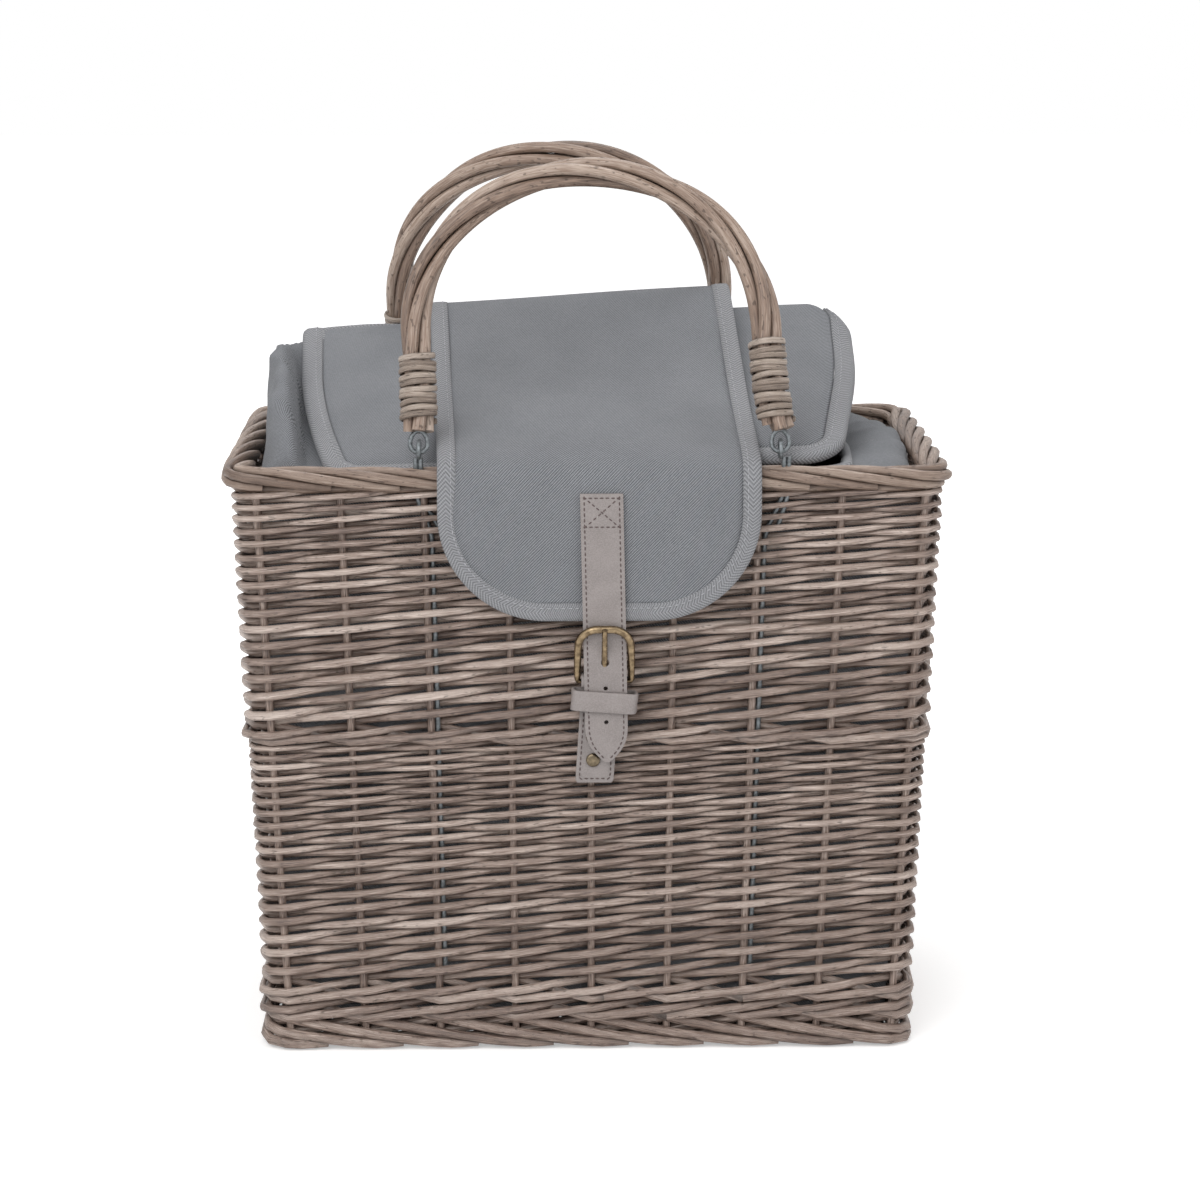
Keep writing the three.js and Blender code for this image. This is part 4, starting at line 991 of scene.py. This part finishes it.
# Sewing thread: even stitches that follow the inner edge of the flap's tape and of the lid's tape.
# Each stitch is a short bead of pale grey thread that sinks into the tape.
sewing_tree, sewing_in, sewing_out, sewing_keys = new_tree(
    "stitches_on_paths", "GeometryNodeTree",
    {"Paths": "Geometry", "Pitch": "Float", "Thread": "Float", "Finish": "Material"},
    {"Stitches": "Geometry"})
sewing_curve = add_node(sewing_tree, "GeometryNodeMeshToCurve", {"Mesh": sewing_in["Paths"]})
sewing_points = add_node(sewing_tree, "GeometryNodeResampleCurve", {
    "Curve": sewing_curve.outputs["Curve"], "Length": sewing_in["Pitch"]}, mode="LENGTH")
sewing_way = add_node(sewing_tree, "GeometryNodeInputTangent")
sewing_turn = add_node(sewing_tree, "FunctionNodeAlignRotationToVector", {
    "Vector": sewing_way.outputs["Tangent"]}, axis="X")
stitch = add_node(sewing_tree, "GeometryNodeMeshUVSphere", {"Segments": 6, "Rings": 4, "Radius": 1})
stitch_half = maths(sewing_tree, "MULTIPLY", sewing_in["Pitch"], 0.36)
sewing_set = add_node(sewing_tree, "GeometryNodeInstanceOnPoints", {
    "Points": sewing_points.outputs["Curve"], "Instance": stitch.outputs["Mesh"],
    "Rotation": sewing_turn.outputs["Rotation"],
    "Scale": vector(sewing_tree, stitch_half, sewing_in["Thread"], sewing_in["Thread"])})
real_and_painted(sewing_tree, sewing_set.outputs["Instances"], sewing_in["Finish"], sewing_out)


def stitches_piece(name, lines, pitch, thread, finish):
    """Stitches along open lines of points."""
    paths = paths_mesh(name, [(line, False) for line in lines])
    return made_plain(name, paths, sewing_tree, {
        sewing_keys["Pitch"]: pitch, sewing_keys["Thread"]: thread, sewing_keys["Finish"]: finish})


def thread_finish(name, dark, pale):
    """Twisted sewing thread: fine bands of two tones."""
    finish, tree, coat = new_finish(name)
    bands = noise(tree, object_place(tree), 2400.0, 1.0)
    fill_inputs(coat, {"Base Color": ramp(tree, bands, [(0.3, dark), (0.7, pale)]), "Roughness": 0.85})
    return finish


TAPE_STITCH = 3.4 * MM
TAPE_THREAD = 0.35 * MM
pale_thread = thread_finish("pale_thread", (0.3, 0.3, 0.32), (0.5, 0.5, 0.53))
flap_seam = [on_flap(x, down, 2.1 * MM) for x, down in flap_outline(6.6 * MM)]
flap_stitches = stitches_piece("flap_stitches", [flap_seam], TAPE_STITCH, TAPE_THREAD, pale_thread)
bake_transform(flap_stitches)
lid_seam = [on_lid(x, down, 6.2 * MM) for x, down in lid_tape_line(7.2 * MM)]
lid_stitches = stitches_piece("lid_stitches", [lid_seam], TAPE_STITCH, TAPE_THREAD, pale_thread)
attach(lid_stitches, "lid")


# Leather tab: a grey strip folded round the buckle's bar and riveted to the basket's front, with a slot for
# the prong. A row of brown stitches runs along its edge.
TAB_X = 6.2 * MM
TAB_Y = -102.3
TAB_FOLD = 2.9
STRAP_X = 8 * MM
BAR_Y = -105.23
BAR_Z = 191.5
BAR = Vector((STRAP_X, BAR_Y * MM, BAR_Z * MM))
LEATHER_STITCH = 2.7 * MM


def leather_finish(name, dark, middle, pale):
    """Smooth cowhide: a fine pebbled grain, soft clouds of tone and a satin surface."""
    finish, tree, coat = new_finish(name)
    place = object_place(tree)
    pebbles = add_node(tree, "ShaderNodeTexVoronoi", {"Vector": place, "Scale": 1500.0}).outputs["Distance"]
    clouds = noise(tree, place, 110.0, 4.0)
    tone = weighed(tree, clouds, 0.5, pebbles, 0.4)
    height = maths(tree, "ADD", pebbles, maths(tree, "MULTIPLY", clouds, 0.8))
    fill_inputs(coat, {"Base Color": ramp(tree, tone, [(0.25, dark), (0.5, middle), (0.8, pale)]),
                       "Roughness": maths(tree, "ADD", maths(tree, "MULTIPLY", clouds, 0.25), 0.38),
                       "Normal": bumped(tree, height, 0.3, 0.0003)})
    return finish


leather = leather_finish("grey_leather", (0.243, 0.215, 0.206), (0.302, 0.268, 0.259), (0.342, 0.307, 0.297))


def strip_rows(line, middle_at, half_at, columns):
    """Rows of points across a flat strip that follows a line of (y, z), in millimetres."""
    rows = []
    for y, z in line:
        sides = [half_at(z) * (2 * j / columns - 1) for j in range(columns + 1)]
        rows.append([(Vector((middle_at(z) + x, y * MM, z * MM)), x, z * MM, 0.5) for x in sides])
    return rows


def edged(piece, wide):
    """Rounds the cut edges of a piece of leather."""
    finished(piece, "BEVEL", width=wide, segments=2, limit_method="ANGLE", angle_limit=math.radians(50))


def tab_middle(z):
    """The tab hangs a little to the left."""
    return TAB_X - 3 * MM * max(0.0, (186 - z) / 46)


def tab_half(z):
    """Half the tab's width, a little less at its end."""
    return (9.3 if z > 141 else 8.4) * MM


tab_turns = [math.radians(angle) for angle in range(-50, 181, 15)]
tab_line = [(BAR_Y - TAB_FOLD * math.cos(turn), BAR_Z + TAB_FOLD * math.sin(turn)) for turn in tab_turns]
tab_line += [(TAB_Y, BAR_Z - 4.7 * step) for step in range(1, 11)] + [(TAB_Y, 141.6), (TAB_Y, 140)]
tab = grid_piece("buckle_tab", strip_rows(tab_line, tab_middle, tab_half, 20), leather)
tab_cut = bmesh.new()
tab_cut.from_mesh(tab.data)
tab_spots = [(face, face.calc_center_median()) for face in tab_cut.faces]
slot_faces = [face for face, spot in tab_spots if abs(spot.x - STRAP_X) < 1.8 * MM and spot.z > 187 * MM]
bmesh.ops.delete(tab_cut, geom=slot_faces, context="FACES")
tab_cut.to_mesh(tab.data)
tab_cut.free()
finished(tab, "SOLIDIFY", thickness=1.5 * MM, offset=0)
edged(tab, 0.35 * MM)
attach(tab, "basket")
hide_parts("strap_tab")
leather_thread = thread_finish("brown_thread", (0.07, 0.05, 0.048), (0.15, 0.11, 0.105))
TAB_SEAM = ((-7.4, 182), (-7.4, 162), (-7.4, 142.2), (0, 142.2), (7.4, 142.2), (7.4, 162), (7.4, 182))
tab_seam = [Vector((tab_middle(z) + x * MM, -103.2 * MM, z * MM)) for x, z in TAB_SEAM]
tab_stitches = stitches_piece("tab_stitches", [tab_seam], LEATHER_STITCH, 0.32 * MM, leather_thread)
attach(tab_stitches, "basket")


# Rivets: two domed brass heads, darkened with age. They stand one above the other on the tab
# and fix it to the weave.
RIVET_X = 2.6
RIVET_Y = -103.1
RIVET_SIDES = 24
RIVET_DOME = ((2.9, 0), (3.4, 0.25), (3.4, 0.6), (3.05, 1.05), (2.3, 1.4), (1.2, 1.62), (0.3, 1.68))


def brass_finish(name, dark, pale):
    """Antiqued brass: clouds of brown patina over a worn yellow metal."""
    finish, tree, coat = new_finish(name)
    place = object_place(tree)
    patina = noise(tree, place, 420.0, 5.0)
    fill_inputs(coat, {"Base Color": ramp(tree, patina, [(0.3, dark), (0.75, pale)]),
                       "Roughness": maths(tree, "SUBTRACT", 0.5, maths(tree, "MULTIPLY", patina, 0.4)),
                       "Normal": bumped(tree, noise(tree, place, 1600.0, 2.0), 0.12, 0.0002),
                       "Metallic": 1.0})
    return finish


brass = brass_finish("antique_brass", (0.13, 0.092, 0.055), (0.36, 0.27, 0.165))
rivet_brass = brass_finish("dark_brass", (0.1, 0.08, 0.055), (0.24, 0.19, 0.125))
rivet_turns = [2 * math.pi * k / RIVET_SIDES for k in range(RIVET_SIDES)]
rivet_mesh = bmesh.new()
for z in (163, 151.5):
    rings = []
    for radius, height in RIVET_DOME:
        rings.append([rivet_mesh.verts.new(((RIVET_X + radius * math.cos(turn)) * MM, (RIVET_Y - height) * MM,
                                            (z + radius * math.sin(turn)) * MM)) for turn in rivet_turns])
    for low, high in zip(rings, rings[1:]):
        for k in range(RIVET_SIDES):
            after = (k + 1) % RIVET_SIDES
            rivet_mesh.faces.new((low[k], low[after], high[after], high[k]))
    rivet_mesh.faces.new(rings[-1])
    rivet_mesh.faces.new(list(reversed(rings[0])))
bmesh.ops.recalc_face_normals(rivet_mesh, faces=rivet_mesh.faces)
rivets = placed("tab_rivet_heads", bpy.data.meshes.new("tab_rivet_heads"))
rivet_mesh.to_mesh(rivets.data)
rivet_mesh.free()
rivets.data.materials.append(rivet_brass)
rivets.data.shade_smooth()
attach(rivets, "basket")
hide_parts("tab_rivet_1", "tab_rivet_2")


# Strap: grey leather, sewn to the flap with a crossed box at its top. It passes over the buckle's bar, under
# the frame's top and through the keeper, and ends in a point with spare holes.
STRAP_LINE = (
    (-109.6, 284), (-109.7, 279), (-109.8, 270), (-109.9, 260), (-110.1, 250), (-110.4, 240),
    (-110.7, 232), (-110.8, 226), (-110.7, 220), (-110.5, 212), (-110.2, 204), (-109.8, 197),
    (-109.2, 192.5), (-107.9, 188.5), (-107, 185), (-106.7, 181), (-106.7, 176), (-106.7, 171),
    (-106.6, 168), (-106.6, 165), (-106.6, 162), (-106.6, 159.5), (-106.6, 157), (-106.6, 155),
    (-106.6, 153.4), (-106.6, 152.2), (-106.6, 151.4),
)
STRAP_HOLES = ((201.8, 2.0), (188.5, 1.1), (171.4, 1.1))
SEAM_IN = 1.9
BOX_HALF = 8.1
BOX_TOP = 282
BOX_TALL = 14
CROSS_STEPS = 6


def strap_half(z):
    """Half the strap's width: full to the start of the point, then a blunt curved point."""
    past = max(0.0, (170 - z) / 19)
    return (10 * (1 - past ** 2.6) + 0.3) * MM


def strap_middle(z):
    """The strap hangs a little to the right."""
    return STRAP_X + 1.4 * MM * (217 - z) / 66


strap = grid_piece("strap_leather", strip_rows(STRAP_LINE, strap_middle, strap_half, 10), leather)
finished(strap, "SOLIDIFY", thickness=1.9 * MM, offset=0)
hole_drill = bmesh.new()
for z, radius in STRAP_HOLES:
    turn = Matrix.Translation((strap_middle(z), -109 * MM, z * MM)) @ Matrix.Rotation(math.pi / 2, 4, "X")
    bmesh.ops.create_cone(hole_drill, cap_ends=True, segments=16, radius1=radius * MM, radius2=radius * MM,
                          depth=14 * MM, matrix=turn)
drill = placed("hole_drill", bpy.data.meshes.new("hole_drill"))
hole_drill.to_mesh(drill.data)
hole_drill.free()
finished(strap, "BOOLEAN", object=drill, operation="DIFFERENCE", solver="EXACT")
bpy.data.objects.remove(drill)
edged(strap, 0.35 * MM)
strap.data.shade_smooth()
strap.data.set_sharp_from_angle(angle=math.radians(60))
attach(strap, "flap")
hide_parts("strap")


def on_strap(x, z):
    """Point just in front of the strap."""
    for (y_a, z_a), (y_b, z_b) in zip(STRAP_LINE, STRAP_LINE[1:]):
        if z_a >= z >= z_b:
            y = y_a + (y_b - y_a) * (z_a - z) / (z_a - z_b)
    return Vector((strap_middle(z) + x * MM, (y - 1.0) * MM, z * MM))


strap_heights = [BOX_TOP - 2 * k for k in range(59)] + [165, 163, 161, 159, 157.2, 155.6, 154.2]
strap_seams = [[on_strap(side * max(strap_half(z) / MM - SEAM_IN, 0.0), z) for z in strap_heights]
               for side in (-1, 1)]
strap_seams += [[on_strap(x, z) for x in (-BOX_HALF, BOX_HALF)] for z in (BOX_TOP, BOX_TOP - BOX_TALL)]
cross_shares = [k / CROSS_STEPS for k in range(CROSS_STEPS + 1)]
for side in (-1, 1):
    strap_seams.append([on_strap(side * BOX_HALF * (1 - 2 * share), BOX_TOP - BOX_TALL * share)
                        for share in cross_shares])
strap_stitches = stitches_piece("strap_stitches", strap_seams, LEATHER_STITCH, 0.33 * MM, leather_thread)
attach(strap_stitches, "flap")


# Buckle: a bent brass frame with round shoulders. Its prong turns on the frame's bar, comes through a hole of
# the strap and rests on the frame's top.
FRAME_TILT = math.radians(18.6)
FRAME_SIDE = ((13, 1.2, 1.45), (13, 4, 1.65), (13, 9, 1.75), (12.9, 15, 1.8), (12.7, 19, 1.85))
SHOULDER_RADIUS = 9.5
PRONG_STEPS = 10
up_frame = Vector((0, -math.sin(FRAME_TILT), math.cos(FRAME_TILT)))
frame_half = list(FRAME_SIDE)
for angle in range(10, 91, 10):
    turn = math.radians(angle)
    frame_half.append((3.2 + SHOULDER_RADIUS * math.cos(turn), 19.3 + SHOULDER_RADIUS * math.sin(turn), 1.9))
frame_outline = [(x, 0.0, 1.25) for x in (-12.7, -9, -5, 0, 5, 9, 12.7)]
frame_outline += frame_half + [(-x, height, radius) for x, height, radius in reversed(frame_half)]
frame_path = [(BAR + Vector((x * MM, 0, 0)) + up_frame * height * MM, radius * MM)
              for x, height, radius in frame_outline]
buckle = rods_piece("buckle_ring", [(frame_path, 0.5, True)], 12, brass)
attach(buckle, "basket")
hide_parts("buckle_frame")
prong_tip = BAR + up_frame * 30.4 * MM + Vector((0, -math.cos(FRAME_TILT), -math.sin(FRAME_TILT))) * 3.2 * MM
prong_foot = BAR + Vector((0, -2.2, 3.6)) * MM
prong_path = [(prong_tip.lerp(prong_foot, k / PRONG_STEPS), (1.3 + 0.2 * k / PRONG_STEPS) * MM)
              for k in range(PRONG_STEPS + 1)]
for angle in range(44, -141, -23):
    turn = math.radians(angle)
    prong_path.append((BAR + Vector((0, -2.5 * math.cos(turn), 2.5 * math.sin(turn))) * MM, 1.05 * MM))
prong = rods_piece("buckle_pin", [(prong_path, 0.5, False)], 10, brass)
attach(prong, "prong")
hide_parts("buckle_prong")


# Keeper: a loop of the same leather round the tab and the strap, below the buckle.
# It holds the strap's loose end down.
KEEPER_X = 8
KEEPER_CORNER = 2.6
KEEPER_ROWS = 6
keeper_rows = []
for k in range(KEEPER_ROWS + 1):
    row = []
    for x_side, y_side, start in ((1, 1, 0), (-1, 1, 90), (-1, -1, 180), (1, -1, 270)):
        slant = 0.35 * (k - 3) * (0.6 if y_side < 0 else 0)
        for step in range(7):
            angle = math.radians(start + 15 * step)
            x = KEEPER_X + x_side * 12.6 + KEEPER_CORNER * math.cos(angle) + slant
            y = -104.9 + y_side * 1.7 + KEEPER_CORNER * math.sin(angle)
            z = 176.6 + 10 * k / KEEPER_ROWS - 0.07 * (x - KEEPER_X)
            row.append((Vector((x, y, z)) * MM, x * MM, z * MM, 0.5))
    keeper_rows.append(row)
keeper = grid_piece("keeper_band", keeper_rows, leather, around=True)
finished(keeper, "SOLIDIFY", thickness=1.5 * MM, offset=0)
edged(keeper, 0.4 * MM)
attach(keeper, "basket")
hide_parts("keeper_loop")


# Handles: two arches of four willow rods twisted together. Each leans in over the bag and turns on wire eyes
# at the rim. The rods' cut ends show below the cane that binds each foot.
HALF_SPAN = 86.5
SPRING = 57.2
RISE = 78.2
ROD_FOOT = 10.1
LEG_STEPS = 12
ARCH_STEPS = 72
TWISTS = 1.5
LEAN = math.radians(16.6)
handle_frames = {
    "front": Matrix.Translation((6 * MM, -97 * MM, 302 * MM)) @ Matrix.Rotation(-LEAN, 4, "X"),
    "back": Matrix.Translation((-8 * MM, 97 * MM, 302 * MM)) @ Matrix.Rotation(LEAN, 4, "X"),
}


def right_lean(x, z):
    """Each arch leans a little to the left, and its right leg leans in above its foot."""
    height = min(max((z - ROD_FOOT) / (SPRING + RISE - ROD_FOOT), 0.0), 1.0)
    return x - 5 * height ** 1.5 - (5 * math.sin(math.pi * height ** 0.7) if x > 0 else 0)


def arch_line():
    """Points along a handle's middle line, in millimetres, from its left foot over the top to its right."""
    leg = [(-HALF_SPAN, ROD_FOOT + (SPRING - ROD_FOOT) * k / LEG_STEPS) for k in range(LEG_STEPS)]
    turns = [math.pi * k / ARCH_STEPS for k in range(ARCH_STEPS + 1)]
    line = leg + [(-HALF_SPAN * math.cos(turn), SPRING + RISE * math.sin(turn)) for turn in turns]
    line += [(-x, z) for x, z in reversed(leg)]
    return [Vector((right_lean(x, z), 0, z)) for x, z in line]


def handle_rods(side, frame_at, chance):
    """The four twisted rods of one handle."""
    line = arch_line()
    gone = distances(line)
    rods = []
    for k in range(4):
        stout = chance.uniform(0.97, 1.05)
        sway = chance.uniform(0, 6)
        skip_start, skip_end = chance.choice((0, 0, 1)), chance.choice((0, 0, 1))
        path = []
        for i in range(skip_start, len(line) - skip_end):
            ahead = (line[min(i + 1, len(line) - 1)] - line[max(i - 1, 0)]).normalized()
            sideways = Vector((0, 1, 0)).cross(ahead)
            share = gone[i] / gone[-1]
            angle = 2 * math.pi * (TWISTS * share + k / 4) + (0.5 if side == "back" else 0)
            free = min(1.0, max(0.0, (min(gone[i], gone[-1] - gone[i]) - 30) / 45))
            reach = 4.35 - 0.2 * free + 0.5 * free * math.sin(9 * share + sway)
            place = line[i] + sideways * reach * math.cos(angle) + Vector((0, reach * math.sin(angle), 0))
            radius = (3.05 - 0.1 * free) * MM * stout * (1 + 0.04 * math.sin(14 * share + sway))
            path.append((frame_at @ (place * MM), radius))
        rods.append((path, chance.uniform(0.15, 0.95), False))
    return rods_piece(f"{side}_handle_rods", rods, 12, handle_willow)


handle_willow = willow_finish("handle_willow", (0.073, 0.046, 0.034), (0.282, 0.197, 0.15),
                              (0.59, 0.48, 0.402), 0.4, 1.0)
handle_chance = random.Random(71)
for side, frame_at in handle_frames.items():
    rods = handle_rods(side, frame_at, handle_chance)
    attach(rods, f"{side}_handle")
    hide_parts(*(f"{side}_handle_rod_{k}" for k in range(1, 5)))


# Cane bindings: flat split cane wound about ten times round each handle foot, a little unevenly, over the
# twisted rods.
CANE_PITCH = 3.1
CANE_FOOT = 15.4
CANE_STEPS = 24
CANE_TURNS = {("front", "left"): 10, ("front", "right"): 12, ("back", "left"): 10, ("back", "right"): 9}
CANE_SECTION = [(0.8 * math.cos(k * math.pi / 5), 1.6 * math.sin(k * math.pi / 5)) for k in range(10)]
cane = willow_finish("split_cane", (0.1, 0.072, 0.055), (0.31, 0.242, 0.195), (0.6, 0.51, 0.44), 0.35)
for (side, foot_name), turns in CANE_TURNS.items():
    foot = -1 if foot_name == "left" else 1
    cane_rows = []
    for step in range(turns * CANE_STEPS + 1):
        turn = step / CANE_STEPS
        angle = 2 * math.pi * turn
        radius = 8.05 + 0.3 * math.cos(4 * angle + 0.6) + 0.25 * math.sin(0.7 * angle + foot)
        uneven = 0.35 * math.sin(angle * 0.43 + foot) + 0.4 * math.sin(angle + 1.3 * turn)
        z = CANE_FOOT + CANE_PITCH * turn + uneven
        shade = 0.5 + 0.35 * math.sin(2.4 * math.floor(turn) + foot)
        row = []
        for k, (thick, wide) in enumerate(CANE_SECTION):
            out = radius + thick
            x = right_lean(foot * HALF_SPAN, z) + out * math.cos(angle)
            place = Vector((x, out * math.sin(angle), z + wide))
            row.append((handle_frames[side] @ (place * MM), k / 10, turn * 0.055, shade))
        cane_rows.append(row)
    wrap = welded(grid_piece(f"{side}_{foot_name}_binding", cane_rows, cane, around=True, capped=True))
    across = get_values(wrap.data, "across")
    set_values(wrap.data, "around", across)
    # Painted shade: each turn of cane darkens at its upper and lower edges, where it meets the turns beside
    # it.
    set_values(wrap.data, "painted_join_shade", [math.sin(2 * math.pi * share) ** 4 for share in across])
    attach(wrap, f"{side}_handle")
    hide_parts(f"handle_binding_{side}_{foot_name}")


# Handle loops: galvanised wire bent into a ring under each handle foot.
# Its two ends are twisted together and run up between the rods.
WIRE = 1.1 * MM
RING_STEPS = 28
STRAND = 0.72 * MM
LOOP_RADIUS = 4.2 * MM


def wire_finish(name, dark, pale):
    """Dull zinc on steel: cloudy grey with a few dark specks."""
    finish, tree, coat = new_finish(name)
    zinc = noise(tree, object_place(tree), 700.0, 4.0)
    fill_inputs(coat, {"Base Color": ramp(tree, zinc, [(0.3, dark), (0.65, pale)]), "Metallic": 0.55,
                       "Roughness": maths(tree, "ADD", maths(tree, "MULTIPLY", zinc, 0.3), 0.32)})
    return finish


zinc_wire = wire_finish("zinc_wire", (0.09, 0.1, 0.106), (0.23, 0.25, 0.262))


def wire_ring(centre, radius, first, second, tall):
    """A closed ring of wire in the plane of two directions, taller above its centre."""
    ring = []
    for k in range(RING_STEPS):
        angle = 2 * math.pi * k / RING_STEPS
        rise = math.sin(angle) * (tall if math.sin(angle) > 0 else 1)
        ring.append((centre + (first * math.cos(angle) + second * rise) * radius, WIRE))
    return ring, 0.5, True


def twisted_pair(line, strand, apart, pitch):
    """Two strands twisted round a line of points, all in metres."""
    pair = []
    for start in (0, math.pi):
        path = []
        for at, gone in zip(line, distances(line)):
            angle = start + 2 * math.pi * gone / pitch
            path.append((at + Vector((math.cos(angle), math.sin(angle), 0)) * apart, strand))
        pair.append((path, 0.5, False))
    return pair


for side, frame_at in handle_frames.items():
    wires = []
    for foot in (-HALF_SPAN, HALF_SPAN):
        middle = frame_at @ Vector((foot * MM, 0, LOOP_RADIUS))
        upward = frame_at.to_3x3() @ Vector((0, 0, 1))
        wires.append(wire_ring(middle, LOOP_RADIUS, Vector((1, 0, 0)), upward, 1.5))
        heights = [10.7 + 0.7 * k for k in range(30)]
        shank = [frame_at @ Vector((right_lean(foot, z) * MM, 0, z * MM)) for z in heights]
        wires += twisted_pair(shank, STRAND, STRAND, 7 * MM)
    loops = rods_piece(f"{side}_handle_loops", wires, 8, zinc_wire)
    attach(loops, f"{side}_handle")
    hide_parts(f"handle_loop_{side}_left", f"handle_loop_{side}_right")


# Rim eyes: wire rings that link with the handle loops. One end of each runs down inside the weave beside a
# stake to the foot, so that the load hangs from the base. The other end is cut short below the rim.
EYE_NAMES = ("front_left", "front_right", "back_left", "back_right")
EYE_TOP = 299.4
EYE_STEP = 3
EYE_PLACES = ((-80.5, -97, -2.085, -1.915), (92.5, -97, 2.287, 2.088), (78.5, 97, 10.96, 10.91),
              (-94.5, 97, 15.335, 15.09))


def eye_wire(stakes_top, stakes_low, z_end):
    """Straight down at the rim, over to its stake, and down the wall."""
    path = []
    for k in range(int((EYE_TOP - z_end) / EYE_STEP) + 1):
        z = EYE_TOP - EYE_STEP * k
        share = eased(min(max((284 - z) / 26, 0), 1))
        path.append((wall_point(stakes_top + (stakes_low - stakes_top) * share, z * MM, 0), 1.2 * MM))
    return path, 0.5, False


eye_wires = []
for x, y, stakes_top, stakes_low in EYE_PLACES:
    eye_wires.append(wire_ring(Vector((x, y, 303.5)) * MM, 4 * MM, Vector((0, 1, 0)), Vector((0, 0, 1)), 1))
    eye_wires.append(eye_wire(stakes_top, stakes_low, 36))
    eye_wires.append(eye_wire(stakes_top + 0.06, stakes_low + 0.13, 262))
rim_eyes = rods_piece("rim_eyes", eye_wires, 8, zinc_wire)
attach(rim_eyes, "basket")
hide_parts(*(f"rim_eye_{place}" for place in EYE_NAMES))
